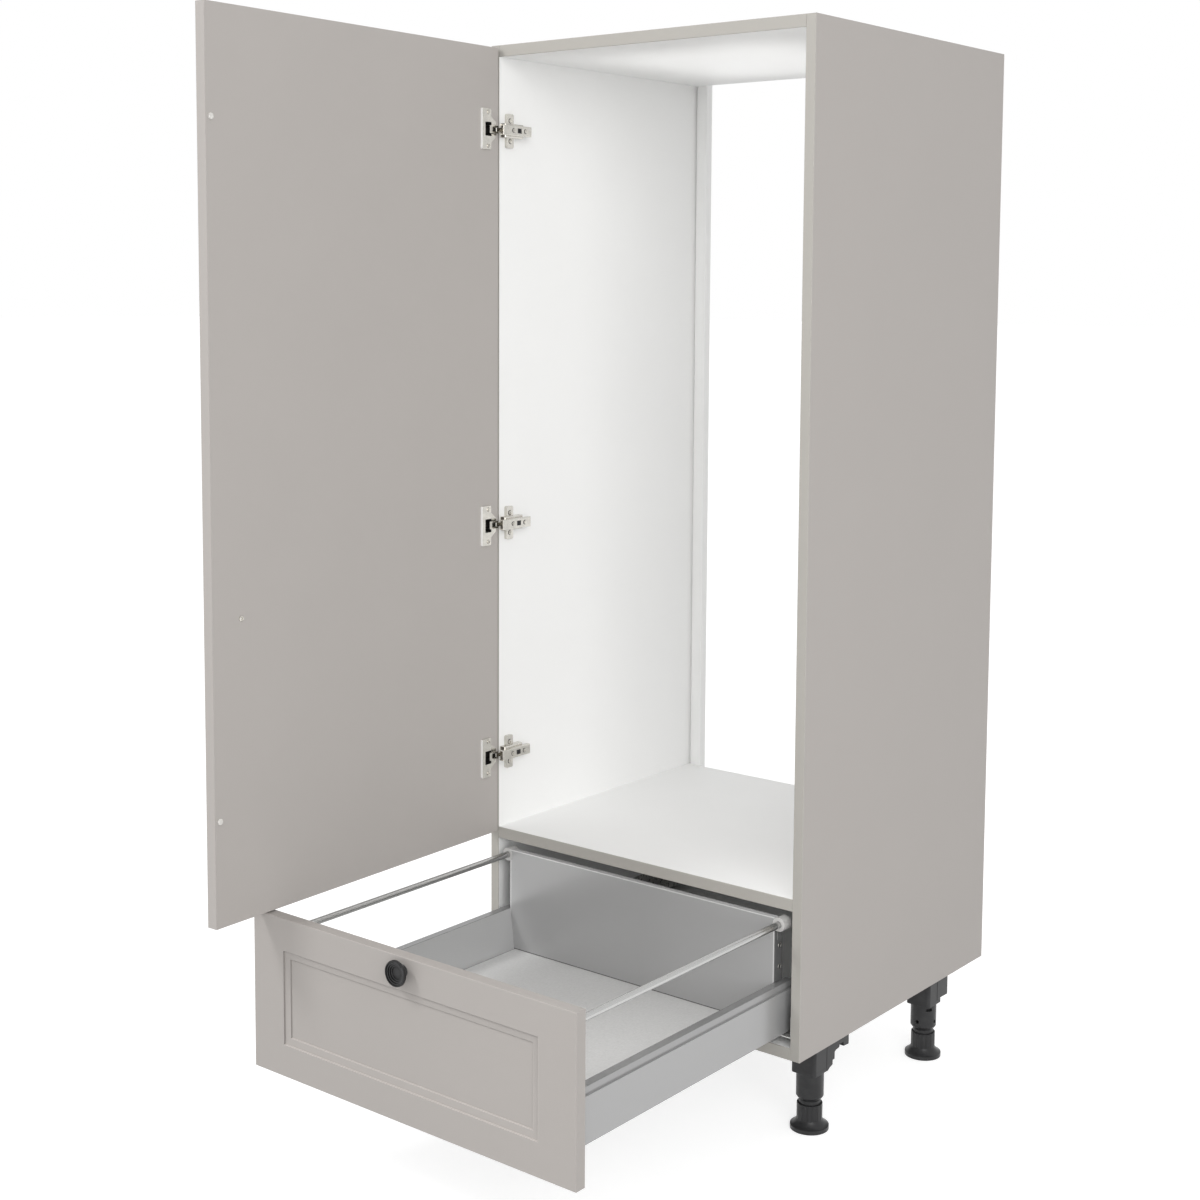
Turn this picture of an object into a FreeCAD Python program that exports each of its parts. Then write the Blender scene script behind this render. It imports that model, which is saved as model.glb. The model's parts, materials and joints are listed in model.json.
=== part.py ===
import FreeCAD
import Part
import math
import os

V = FreeCAD.Vector

# Fridge housing unit with one door and one drawer, shown with both open.
# Millimetres. X runs along the width, the front faces -Y and Z is up from the floor.
# The origin is on the floor, under the middle of the carcass.

# Carcass
unit_width = 600.0
carcass_depth = 565.0
carcass_height = 1494.0
side_thickness = 16.0
board_thickness = 18.0
drawer_bay_height = 204.0
rear_service_gap = 22.0
strip_thickness = 16.0
strip_width = 25.0
strip_groove = 4.0
edge_ease = 0.6

# Dowels of the board joints
dowel_diameter = 8.0
dowel_in_side = 10.0
dowel_in_board = 20.0
dowel_inset = 60.0
dowel_clearance = 0.1

# Door and drawer front
front_thickness = 18.0
front_gap = 2.5
side_reveal = 2.0
bottom_reveal = 2.0
top_reveal = 5.0
front_joint = 3.0
shelf_reveal = 8.0
frame_stile = 62.0
frame_rail = 47.0
frame_step = 2.0
bevel_width = 11.0
bevel_drop = 1.5
panel_step = 1.5
front_edge_radius = 1.5
door_open_angle = 88.3

# Concealed hinges: the door turns on a pin at the linkage's pole in the cup, and a lever follows half way
hinge_end_inset = 127.0
middle_hinge_rise = 376.0
cup_diameter = 35.0
cup_floor_clearance = 0.75
cup_wall = 1.3
cup_edge = 3.0
cup_clearance = 0.1
window_near = 17.0
window_height = 21.4
window_clearance = 0.7
pole_from_rim = 3.9
pole_depth = 10.5
pin_diameter = 2.4
pin_clearance = 0.05
pin_end_inset = 0.15
knuckle_wall = 0.75
link_width = 6.0
link_thickness = 1.4
link_offset = 12.4
link_bend_radius = 1.2
lever_width = 12.4
lever_reach = 15.2
lever_heel = 4.0
lever_bridge = 6.0
lever_cheek_front = 6.0
lever_cheek_back = 1.5
flange_thickness = 3.0
nose_thickness = 1.2
flange_height = 63.6
flange_corner_radius = 2.0
flange_waist_height = 43.0
flange_near = 19.6
flange_far = 41.8
flange_nose = 6.0
flange_nose_height = 22.0
cup_screw_spacing = 52.0
cup_screw_offset = 5.5
plate_thickness = 5.0
plate_front = 13.5
plate_depth = 16.0
plate_height = 53.6
plate_corner_radius = 3.0
plate_screw_spacing = 32.0
plate_screw_setback = 8.0
saddle_front = 3.0
saddle_rear = 47.0
saddle_width = 22.0
saddle_ease = 1.5
saddle_rib_front = 8.0
saddle_rib_clearance = 0.5
arm_rise = 19.0
arm_reach = 10.0
arm_length = 67.0
arm_width = 16.0
arm_depth = 8.0
arm_wall = 1.5
arm_corner_radius = 1.2
arm_screw_front = 24.0
arm_screw_spacing = 28.0
arm_slot_length = 9.5
arm_slot_width = 7.6
hinge_play = 0.3

# Drawer
drawer_rear_gap = 44.5
sheet = 1.2
wall_gap = 13.0
band_inset = 3.0
band_height = 11.5
side_top_width = 13.0
wall_lean = 9.5
side_tail = 30.0
drawer_side_top = 93.0
drawer_side_bottom = 18.0
base_top = 26.5
base_thickness = 10.0
base_ledge = 12.0
base_clearance = 0.3
back_overlap = 10.0
back_headroom = 14.0
back_return = 10.0
bracket_sheet = 1.5
bracket_bottom = 38.0
bracket_headroom = 34.5
bracket_depth = 20.0
bracket_lap = 17.5
bracket_tab_length = 21.0
bracket_tab_height = 38.0
bracket_hole_diameter = 6.0
bracket_hole_spacing = 32.0
bracket_hole_height = 130.0
bracket_hole_setback = 12.5
rivet_edge = 9.0
rivet_spacing = 108.0
rivet_head = (7.0, 1.6)
rivet_diameter = 3.6

# Gallery rails
gallery_inset = 22.0
gallery_drop = 23.5
gallery_diameter = 10.0
gallery_wall = 1.0
socket_clearance = 0.1
front_socket_diameter = 16.0
front_socket_length = 14.0
rear_socket_diameter = 21.0
rear_socket_length = 19.0
socket_grip = 9.0
socket_lug = (2.5, 13.0)
socket_lug_inset = 3.0

# Brackets between the drawer front and the steel sides
fixing_length = 45.0
fixing_height = 35.0
fixing_bottom = 42.0
fixing_floor = 3.0
fixing_screw_spacing = 17.5

# Full-extension runners
rail_sheet = 1.5
rail_setback = 2.0
rail_rear_gap = 25.0
rail_bottom = 14.0
rail_flange_height = 32.0
rail_web = 25.0
rail_lip = 8.0
mid_rail_inset = 10.0
mid_rail_rear_inset = 30.0
mid_rail_height = 16.1
drawer_rail_front = 12.0
drawer_rail_rear = 13.0
slide_clearance = 0.4
rail_screw_front = 35.0
rail_screw_rear = 49.0
rail_screw_rise = 20.0

# Knobs and buffers
knob_diameter = 36.0
knob_projection = 17.0
knob_stem_diameter = 14.0
knob_rim = 5.0
knob_step = 1.5
knob_rim_width = 3.5
knob_ring_width = 3.5
knob_lip_width = 1.5
knob_dish_depth = 4.5
knob_neck_height = 6.0
drawer_knob_from_top = 18.5
door_knob_from_edge = 51.0
door_knob_rise = 426.0
buffer_diameter = 9.0
buffer_play = 0.3
buffer_dome = 0.7
buffer_from_edge = 8.7
buffer_end_inset = 150.0

# Legs and screw feet
leg_height = 150.0
leg_from_side = 50.5
leg_from_front = 111.0
leg_from_back = 104.0
leg_plate = 80.0
leg_plate_thickness = 6.0
leg_block = 43.0
leg_block_height = 49.0
leg_block_radius = 5.5
leg_tube_diameter = 42.0
leg_tube_bottom = 52.0
leg_taper = 6.0
leg_neck_diameter = 33.5
leg_neck_bottom = 30.0
leg_fin_thickness = 6.0
leg_fin_reach = 38.0
leg_fin_height = 42.0
leg_fin_step = 12.5
leg_hole_diameter = 6.0
leg_hole_rise = 9.0
leg_slot_length = 10.0
leg_slot_height = 5.0
leg_slot_depth = 6.0
leg_slot_rise = 28.0
leg_slot_turn = -35.0
leg_front_turn = 180.0
leg_screw_inset = 8.0
foot_diameter = 59.0
foot_rim = 6.0
foot_flare_height = 16.0
foot_flare_bow = 1.4
foot_collar_clearance = 1.15
foot_collar_gap = 6.0
foot_collar_wall = 1.6
foot_floor = 12.0
foot_flutes = 16
flute_radius = 1.3
stem_diameter = 20.0
stem_top = 80.0
stem_clearance = 0.3
stem_headroom = 25.0

# Screws: head diameter, head height, shank diameter, shank length
wood_screw = (7.0, 1.6, 3.6, 12.0)
machine_screw = (6.0, 1.4, 3.6, 7.0)
knob_screw_head = (8.0, 2.0)
knob_screw_diameter = 4.0
knob_screw_grip = 8.0
screw_clearance = 0.1
screw_crown = 0.6
screw_recess_length = 4.6
screw_recess_width = 0.9

# Planes and levels that the pieces share
half_width = unit_width / 2
inner_half = half_width - side_thickness
front_y = -carcass_depth / 2
rear_y = carcass_depth / 2
board_rear_y = rear_y - rear_service_gap - strip_thickness
carcass_bottom = leg_height
carcass_top = carcass_bottom + carcass_height
bay_floor = carcass_bottom + board_thickness
bay_ceiling = bay_floor + drawer_bay_height
shelf_top = bay_ceiling + board_thickness
front_width = unit_width - 2 * side_reveal
front_back_y = front_y - front_gap
drawer_front_bottom = carcass_bottom + bottom_reveal
drawer_front_height = shelf_top - shelf_reveal - drawer_front_bottom
door_bottom = drawer_front_bottom + drawer_front_height + front_joint
door_height = carcass_top - top_reveal - door_bottom
door_edge_x = -half_width + side_reveal
pole = V(door_edge_x + cup_edge + pole_from_rim, front_back_y - pole_depth, 0)
cup_depth = pole_depth + pin_diameter / 2 + knuckle_wall + cup_floor_clearance + cup_wall
pin_reach = cup_diameter / 2 - pole_from_rim + pin_diameter / 2
pin_length = 2 * (math.sqrt(cup_diameter ** 2 / 4 - pin_reach ** 2) - pin_end_inset)
link_near_x = pole.x + link_offset
link_far_x = link_near_x + link_thickness
arm_top_x = -inner_half + arm_rise
arm_low_x = arm_top_x - arm_depth
arm_front_y = front_y - arm_reach
lower_hinge = door_bottom + hinge_end_inset
hinge_levels = {
    "lower": lower_hinge,
    "middle": lower_hinge + middle_hinge_rise,
    "upper": door_bottom + door_height - hinge_end_inset,
}
drawer_travel = board_rear_y - drawer_rear_gap - front_back_y
drawer_y = front_back_y - drawer_travel
drawer_rear_y = front_back_y
rail_run = (front_y + rail_setback, board_rear_y - rail_rear_gap)
mirror_sides = {"left": -1, "right": 1}

nodes = {}


def box(x, y, z):
    return Part.makeBox(x[1] - x[0], y[1] - y[0], z[1] - z[0], V(x[0], y[0], z[0]))


def rod(radius, start, end):
    axis = end.sub(start)
    return Part.makeCylinder(radius, axis.Length, start, axis)


def prism(points, axis, low, high):
    # The points are pairs along the two other axes, in X, Y, Z order.
    if axis == "x":
        corners = [V(low, a, b) for a, b in points]
        run = V(high - low, 0, 0)
    elif axis == "y":
        corners = [V(a, low, b) for a, b in points]
        run = V(0, high - low, 0)
    else:
        corners = [V(a, b, low) for a, b in points]
        run = V(0, 0, high - low)
    return Part.Face(Part.makePolygon(corners + corners[:1])).extrude(run)


def bent_sheet(path, thickness):
    # Closed outline of a bent sheet: its shown face follows the path, its thickness lies to the right.
    points = [V(a, b, 0) for a, b in path]
    rights = []
    for start, end in zip(points, points[1:]):
        along = end.sub(start).normalize()
        rights.append(V(along.y, -along.x, 0))
    inner = [points[0] + rights[0] * thickness]
    for point, before, after in zip(points[1:], rights, rights[1:]):
        inner.append(point + (before + after) * (thickness / (1 + before.dot(after))))
    inner.append(points[-1] + rights[-1] * thickness)
    return path + [(p.x, p.y) for p in reversed(inner)]


def turned(profile):
    # A profile of (radius, height) pairs, turned about Z.
    corners = [V(r, 0, h) for r, h in profile]
    face = Part.Face(Part.makePolygon(corners + corners[:1]))
    return face.revolve(V(0, 0, 0), V(0, 0, 1), 360)


def aimed(shape, place, direction):
    # Turns a shape from +Z to the direction and moves it to its place.
    turn = FreeCAD.Rotation(V(0, 0, 1), direction)
    copy = shape.copy()
    copy.Placement = FreeCAD.Placement(place, turn).multiply(copy.Placement)
    return copy


def headed(size):
    # Shank down from the origin, with a crowned head above it.
    head, height, shank, length = size
    return turned([
        (0, -length), (shank / 2, -length), (shank / 2, 0), (head / 2, 0),
        (head / 2, height - screw_crown), (head / 2 - screw_crown, height), (0, height),
    ])


def screw(size):
    top = size[1]
    floor = top - screw_crown
    long = (-screw_recess_length / 2, screw_recess_length / 2)
    short = (-screw_recess_width / 2, screw_recess_width / 2)
    return headed(size).cut([box(long, short, (floor, top)), box(short, long, (floor, top))])


def screw_hole(size, length):
    return Part.makeCylinder(size[2] / 2 + screw_clearance, length, V(0, 0, -length))


def solids(*shapes):
    return Part.makeCompound(list(shapes))


def mirrored(shape):
    return shape.mirror(V(0, 0, 0), V(1, 0, 0))


def both_sides(name, right_shape):
    nodes["right_" + name] = right_shape
    nodes["left_" + name] = mirrored(right_shape)


def eased_front(board):
    # Takes the sharpness off the edges of a board's front face.
    face_y = board.BoundBox.YMin
    edges = [e for e in board.Edges if all(abs(v.Y - face_y) < 1e-6 for v in e.Vertexes)]
    return board.makeChamfer(edge_ease, edges)


# Dowels


def dowel_places():
    levels = (carcass_bottom, bay_ceiling, carcass_top - board_thickness)
    front = front_y + dowel_inset
    rear = board_rear_y - dowel_inset
    for level in levels:
        for y in (front, (front + rear) / 2, rear):
            for side in mirror_sides.values():
                yield side, y, level + board_thickness / 2


def dowels(clearance):
    pegs = []
    for side, y, z in dowel_places():
        inside = V(side * (inner_half - dowel_in_board - clearance), y, z)
        outside = V(side * (inner_half + dowel_in_side + clearance), y, z)
        pegs.append(rod(dowel_diameter / 2 + clearance, inside, outside))
    return pegs


# Carcass boards


def rail_screw_points():
    first = rail_run[0] + rail_screw_front
    last = rail_run[1] - rail_screw_rear
    level = bay_floor + rail_bottom + rail_screw_rise
    return [V(inner_half - rail_sheet, y, level) for y in (first, (first + last) / 2, last)]


def plate_screw_points():
    y = front_y + plate_front + plate_screw_setback
    return [
        V(-inner_half + plate_thickness, y, level + sign * plate_screw_spacing / 2)
        for level in hinge_levels.values()
        for sign in (-1, 1)
    ]


def carcass():
    holes = dowels(dowel_clearance)
    side = box((inner_half, half_width), (front_y, rear_y), (carcass_bottom, carcass_top))
    right_side = eased_front(side)
    hole = screw_hole(wood_screw, wood_screw[3] + screw_clearance)
    rail_holes = [aimed(hole, p, V(-1, 0, 0)) for p in rail_screw_points()]
    plate_holes = [aimed(hole, p, V(1, 0, 0)) for p in plate_screw_points()]
    left_side = mirrored(right_side).cut(holes + [mirrored(h) for h in rail_holes] + plate_holes)
    nodes["left_side_panel"] = left_side
    nodes["right_side_panel"] = right_side.cut(holes + rail_holes)

    levels = {"bottom_panel": carcass_bottom, "fridge_shelf": bay_ceiling,
              "top_panel": carcass_top - board_thickness}
    for name, level in levels.items():
        board = box((-inner_half, inner_half), (front_y, board_rear_y), (level, level + board_thickness))
        nodes[name] = eased_front(board).cut(holes)
    nodes["bottom_panel"] = nodes["bottom_panel"].cut(leg_screw_holes())
    nodes["carcass_dowels"] = solids(*dowels(0))

    strip = box((inner_half - strip_width, inner_half), (board_rear_y, board_rear_y + strip_thickness),
                (bay_ceiling, carcass_top))
    groove = box((inner_half - strip_groove, inner_half), (board_rear_y, board_rear_y + strip_groove),
                 (shelf_top, carcass_top - board_thickness))
    both_sides("back_strip", strip.cut(groove))
    nodes["lower_back_panel"] = box((-inner_half, inner_half),
                                    (board_rear_y, board_rear_y + strip_thickness),
                                    (carcass_bottom, bay_ceiling))


# Legs and feet


def leg_axes():
    x = half_width - leg_from_side
    rows = {"front": front_y + leg_from_front, "rear": rear_y - leg_from_back}
    return {(row, side): V(sign * x, y, 0)
            for row, y in rows.items() for side, sign in mirror_sides.items()}


def leg_screw_places():
    reach = leg_plate / 2 - leg_screw_inset
    level = leg_height - leg_plate_thickness
    corners = [V(a * reach, b * reach, level) for a in (-1, 1) for b in (-1, 1)]
    return [axis + corner for axis in leg_axes().values() for corner in corners
            if abs(axis.x + corner.x) < inner_half - leg_screw_inset]


def leg_screw_holes():
    depth = wood_screw[3] + screw_clearance
    return [aimed(screw_hole(wood_screw, depth), place, V(0, 0, -1)) for place in leg_screw_places()]


def leg(openings_turn):
    # The pin holes and the slot are on two sides of the tube, turned inwards on the front legs.
    half_plate = leg_plate / 2
    plate_low = leg_height - leg_plate_thickness
    block_low = plate_low - leg_block_height
    half_block = leg_block / 2
    plate = box((-half_plate, half_plate), (-half_plate, half_plate), (plate_low, leg_height))
    block = box((-half_block, half_block), (-half_block, half_block), (block_low, plate_low))
    corners = [e for e in block.Edges if abs(e.Vertexes[0].Z - e.Vertexes[-1].Z) > 1]
    block = block.makeFillet(leg_block_radius, corners)
    tube = leg_tube_diameter / 2
    neck = leg_neck_diameter / 2
    shaft = turned([
        (0, leg_neck_bottom), (neck, leg_neck_bottom), (neck, leg_tube_bottom - leg_taper),
        (tube, leg_tube_bottom), (tube, block_low), (0, block_low),
    ])
    fin_low = plate_low - leg_fin_height
    fin_end = half_block + leg_fin_reach
    fin_points = [
        (half_block, plate_low), (half_block, fin_low), (half_block + leg_fin_step, fin_low),
        (half_block + leg_fin_step, fin_low + leg_fin_step), (fin_end, fin_low + 2 * leg_fin_step),
        (fin_end, plate_low),
    ]
    fin = prism(fin_points, "x", half_block - leg_fin_thickness, half_block)
    body = plate.fuse([block, shaft, fin])
    bore_top = stem_top + stem_headroom
    bore = rod(stem_diameter / 2 + stem_clearance, V(0, 0, leg_neck_bottom), V(0, 0, bore_top))
    hole_level = leg_tube_bottom + leg_hole_rise
    middle = V(0, 0, hole_level)
    hole_x = rod(leg_hole_diameter / 2, middle, V(tube, 0, hole_level))
    hole_y = rod(leg_hole_diameter / 2, V(0, -tube, hole_level), middle)
    slot_low = leg_tube_bottom + leg_slot_rise
    slot = box((tube - leg_slot_depth, tube), (-leg_slot_length / 2, leg_slot_length / 2),
               (slot_low, slot_low + leg_slot_height))
    slot.rotate(V(0, 0, 0), V(0, 0, 1), leg_slot_turn)
    for opening in (hole_x, hole_y, slot):
        opening.rotate(V(0, 0, 0), V(0, 0, 1), openings_turn)
    return body.cut([bore, hole_x, hole_y, slot])


def foot():
    rim = foot_diameter / 2
    bore = leg_neck_diameter / 2 + foot_collar_clearance
    collar = bore + foot_collar_wall
    collar_top = leg_tube_bottom - leg_taper - foot_collar_gap
    stem = stem_diameter / 2
    flare_low = V(rim, 0, foot_rim)
    flare_high = V(collar, 0, foot_flare_height)
    chord = flare_high - flare_low
    hollow = V(-chord.z, 0, chord.x).normalize() * foot_flare_bow
    flare = Part.Arc(flare_low, flare_low + chord * 0.5 + hollow, flare_high)
    path = [
        flare_high, V(collar, 0, collar_top), V(bore, 0, collar_top),
        V(bore, 0, foot_floor), V(stem, 0, foot_floor), V(stem, 0, stem_top), V(0, 0, stem_top),
        V(0, 0, 0), V(rim, 0, 0), flare_low,
    ]
    lines = [Part.makeLine(a, b) for a, b in zip(path, path[1:])]
    body = Part.Face(Part.Wire([flare.toShape()] + lines)).revolve(V(0, 0, 0), V(0, 0, 1), 360)
    flutes = []
    for i in range(foot_flutes):
        angle = 2 * math.pi * i / foot_flutes
        place = V(math.cos(angle), math.sin(angle), 0) * (collar + flute_radius / 2)
        flutes.append(rod(flute_radius, place + V(0, 0, foot_flare_height), place + V(0, 0, collar_top)))
    return body.cut(flutes)


def legs():
    row_legs = {"front": leg(leg_front_turn), "rear": leg(0)}
    one_foot = foot()
    holes = leg_screw_holes()
    for (row, side), axis in leg_axes().items():
        shape = row_legs[row] if side == "right" else mirrored(row_legs[row])
        nodes["%s_%s_leg" % (row, side)] = shape.translated(axis).cut(holes)
        nodes["%s_%s_foot" % (row, side)] = one_foot.translated(axis)


# Fronts


def milled_front(height):
    half = front_width / 2
    board = box((-half, half), (-front_thickness, 0), (0, height))
    edges = [e for e in board.Edges if all(abs(v.Y + front_thickness) < 1e-6 for v in e.Vertexes)]
    board = board.makeFillet(front_edge_radius, edges)

    def rectangle(inset, depth):
        x = half - frame_stile - inset
        low = frame_rail + inset
        y = depth - front_thickness
        corners = [V(-x, y, low), V(x, y, low), V(x, y, height - low), V(-x, y, height - low)]
        return Part.makePolygon(corners + corners[:1])

    def pocket(inset, depth):
        return Part.Face(rectangle(inset, 0)).extrude(V(0, depth, 0))

    bevel_floor = frame_step + bevel_drop
    bevel = Part.makeLoft([rectangle(0, frame_step), rectangle(bevel_width, bevel_floor)], True, True)
    return board.cut([pocket(0, frame_step), bevel, pocket(bevel_width, bevel_floor + panel_step)])


def knob():
    # Turned knob with a stem, a flared back, a stepped rim and a dished middle.
    radius = knob_diameter / 2
    stem = knob_stem_diameter / 2
    ring = radius - knob_rim_width
    well = ring - knob_ring_width
    dish = well - knob_lip_width
    ring_top = knob_projection - knob_step
    dish_top = ring_top - knob_step
    dish_floor = dish_top - knob_dish_depth
    sphere = (dish ** 2 + knob_dish_depth ** 2) / (2 * knob_dish_depth)
    half_way = dish_floor + sphere - math.sqrt(sphere ** 2 - dish ** 2 / 4)
    bowl = Part.Arc(V(dish, 0, dish_top), V(dish / 2, 0, half_way), V(0, 0, dish_floor))
    path = [
        V(0, 0, dish_floor), V(0, 0, 0), V(stem + knob_step, 0, 0), V(stem, 0, knob_step),
        V(stem, 0, knob_neck_height), V(radius, 0, knob_projection - knob_rim), V(radius, 0, ring_top),
        V(radius - knob_step, 0, knob_projection), V(ring, 0, knob_projection), V(ring, 0, ring_top),
        V(well, 0, ring_top), V(well, 0, dish_top), V(dish, 0, dish_top),
    ]
    lines = [Part.makeLine(a, b) for a, b in zip(path, path[1:])]
    body = Part.Face(Part.Wire([bowl.toShape()] + lines)).revolve(V(0, 0, 0), V(0, 0, 1), 360)
    thread = knob_screw_diameter / 2 + screw_clearance
    return body.cut(Part.makeCylinder(thread, knob_screw_grip))


def knob_and_screw(place):
    # The place is where the knob's axis meets the inner face of the front.
    out = V(0, -1, 0)
    face = place + out * front_thickness
    head, height = knob_screw_head
    length = front_thickness + knob_screw_grip - screw_clearance
    fastener = screw((head, height, knob_screw_diameter, length))
    hole = rod(knob_screw_diameter / 2 + screw_clearance, place, face)
    return aimed(knob(), face, out), aimed(fastener, place, V(0, 1, 0)), hole


# Hinges and door


def cup_centre(level):
    return V(door_edge_x + cup_edge + cup_diameter / 2, front_back_y, level)


def on_pole(radius, low, high):
    # Upright rod on the pole.
    return rod(radius, pole + V(0, 0, low), pole + V(0, 0, high))


def hinge_pin(level):
    return on_pole(pin_diameter / 2, level - pin_length / 2, level + pin_length / 2)


def cup_screw_points(level):
    centre = cup_centre(level)
    return [centre + V(cup_screw_offset, flange_thickness, sign * cup_screw_spacing / 2) for sign in (-1, 1)]


def rounded(shape, radius, run):
    # Rounds the edges that run along the given direction.
    edges = [e for e in shape.Edges if len(e.Vertexes) == 2
             and (e.Vertexes[1].Point - e.Vertexes[0].Point).normalize().cross(run).Length < 1e-6]
    return shape.makeFillet(radius, edges)


def hinge_cup(level):
    centre = cup_centre(level)
    inward = V(0, -1, 0)
    pot = Part.makeCylinder(cup_diameter / 2, cup_depth, centre, inward)
    x_far = door_edge_x + flange_far
    x_near = door_edge_x + flange_near
    x_nose = door_edge_x + flange_nose
    tall = flange_height / 2
    waist = flange_waist_height / 2
    nose = flange_nose_height / 2
    main = box((x_near, x_far), (front_back_y, front_back_y + flange_thickness), (level - tall, level + tall))
    main = rounded(main, flange_corner_radius, V(0, 1, 0))
    outline = [(x_near, waist), (x_nose, nose), (x_nose, -nose), (x_near, -waist)]
    outline = [(x, z + level) for x, z in outline]
    tongue = prism(outline, "y", front_back_y, front_back_y + nose_thickness)
    depth = (front_back_y - cup_depth + cup_wall, front_back_y + flange_thickness)
    window_half = window_height / 2
    window = box((door_edge_x + window_near, arm_top_x + window_clearance), depth,
                 (level - window_half, level + window_half))
    slot_half = lever_width / 2 + hinge_play
    slot = box((pole.x - pin_diameter / 2 - knuckle_wall - hinge_play, door_edge_x + window_near), depth,
               (level - slot_half, level + slot_half))
    holes = [aimed(screw_hole(wood_screw, flange_thickness), p, V(0, 1, 0)) for p in cup_screw_points(level)]
    return pot.fuse([main, tongue]).cut([window, slot, hinge_pin(level)] + holes)


def hinge_link(level):
    # Gooseneck from the pin, out of the cup's mouth and back to the saddle.
    half = link_thickness / 2
    tail = front_y + saddle_front
    low = level - link_width / 2
    high = level + link_width / 2
    outline = [
        (pole.x, pole.y - half), (link_far_x, pole.y - half), (link_far_x, tail),
        (link_near_x, tail), (link_near_x, pole.y + half), (pole.x, pole.y + half),
    ]
    bar = prism(outline, "z", low, high)
    bends = [e for e in bar.Edges if len(e.Vertexes) == 2
             and all(abs(v.X - link_far_x) < 1e-6 and abs(v.Y - pole.y + half) < 1e-6 for v in e.Vertexes)]
    bar = bar.makeFillet(link_bend_radius, bends)
    knuckle = on_pole(pin_diameter / 2 + knuckle_wall, low, high)
    return bar.fuse(knuckle).cut(on_pole(pin_diameter / 2 + pin_clearance, low, high))


def hinge_lever(level):
    # Forked lever on the same pin: two cheeks, and a plate with a slot that the gooseneck passes.
    low = level - lever_width / 2
    high = level + lever_width / 2
    plate = box((link_near_x, link_far_x), (pole.y - lever_reach, pole.y + lever_heel), (low, high))
    fork_half = link_width / 2 + hinge_play
    fork = (level - fork_half, level + fork_half)
    knuckle = pin_diameter / 2 + knuckle_wall
    outline = [
        (pole.x, pole.y - knuckle), (link_near_x, pole.y - lever_cheek_front),
        (link_near_x, pole.y + lever_cheek_back), (pole.x, pole.y + lever_cheek_back),
    ]
    cheeks = prism(outline, "z", low, high).fuse(on_pole(knuckle, low, high))
    gap = box((pole.x - lever_width, link_near_x), (pole.y - lever_reach, pole.y + lever_reach), fork)
    slot = box((link_near_x, link_far_x), (pole.y - lever_reach + lever_bridge, pole.y + lever_heel), fork)
    return plate.fuse(cheeks).cut([gap, slot, on_pole(pin_diameter / 2 + pin_clearance, low, high)])


def arm_screw_points(level):
    y = arm_front_y + arm_screw_front
    return [V(arm_top_x, y, level), V(arm_top_x, y + arm_screw_spacing, level)]


def hinge_plate(level):
    # Cross-shaped mounting plate: two wings, a saddle under the arm and a rib inside it.
    wall = -inner_half
    wing_half = plate_height / 2
    y = front_y + plate_front
    wings = box((wall, wall + plate_thickness), (y, y + plate_depth), (level - wing_half, level + wing_half))
    wings = rounded(wings, plate_corner_radius, V(1, 0, 0))
    saddle_half = saddle_width / 2
    saddle = box((wall, arm_low_x), (front_y + saddle_front, front_y + saddle_rear),
                 (level - saddle_half, level + saddle_half))
    top_edges = [e for e in saddle.Edges if all(abs(v.X - arm_low_x) < 1e-6 for v in e.Vertexes)]
    saddle = saddle.makeChamfer(saddle_ease, top_edges)
    rib_half = arm_width / 2 - arm_wall - hinge_play
    rib = box((wall, arm_top_x - arm_wall - saddle_rib_clearance),
              (front_y + saddle_rib_front, front_y + saddle_rear), (level - rib_half, level + rib_half))
    holes = [aimed(screw_hole(wood_screw, plate_thickness), p, V(1, 0, 0)) for p in plate_screw_points()]
    holes += [aimed(screw_hole(machine_screw, arm_rise), p, V(1, 0, 0)) for p in arm_screw_points(level)]
    return wings.fuse([saddle, rib]).cut(holes)


def hinge_arm(level):
    end = arm_front_y + arm_length
    half = arm_width / 2
    shell = box((arm_low_x, arm_top_x), (arm_front_y, end), (level - half, level + half))
    crests = [e for e in shell.Edges if all(abs(v.X - arm_top_x) < 1e-6 for v in e.Vertexes)]
    shell = shell.makeFillet(arm_corner_radius, crests)
    inside = half - arm_wall
    ceiling = arm_top_x - arm_wall
    hollow = box((arm_low_x, ceiling), (arm_front_y, end), (level - inside, level + inside))
    first, second = arm_screw_points(level)
    slot_y = (first.y + second.y) / 2
    slot = box((ceiling, arm_top_x), (slot_y - arm_slot_length / 2, slot_y + arm_slot_length / 2),
               (level - arm_slot_width / 2, level + arm_slot_width / 2))
    holes = [aimed(screw_hole(machine_screw, arm_wall), p, V(1, 0, 0)) for p in (first, second)]
    return shell.cut([hollow, slot] + holes)


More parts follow.
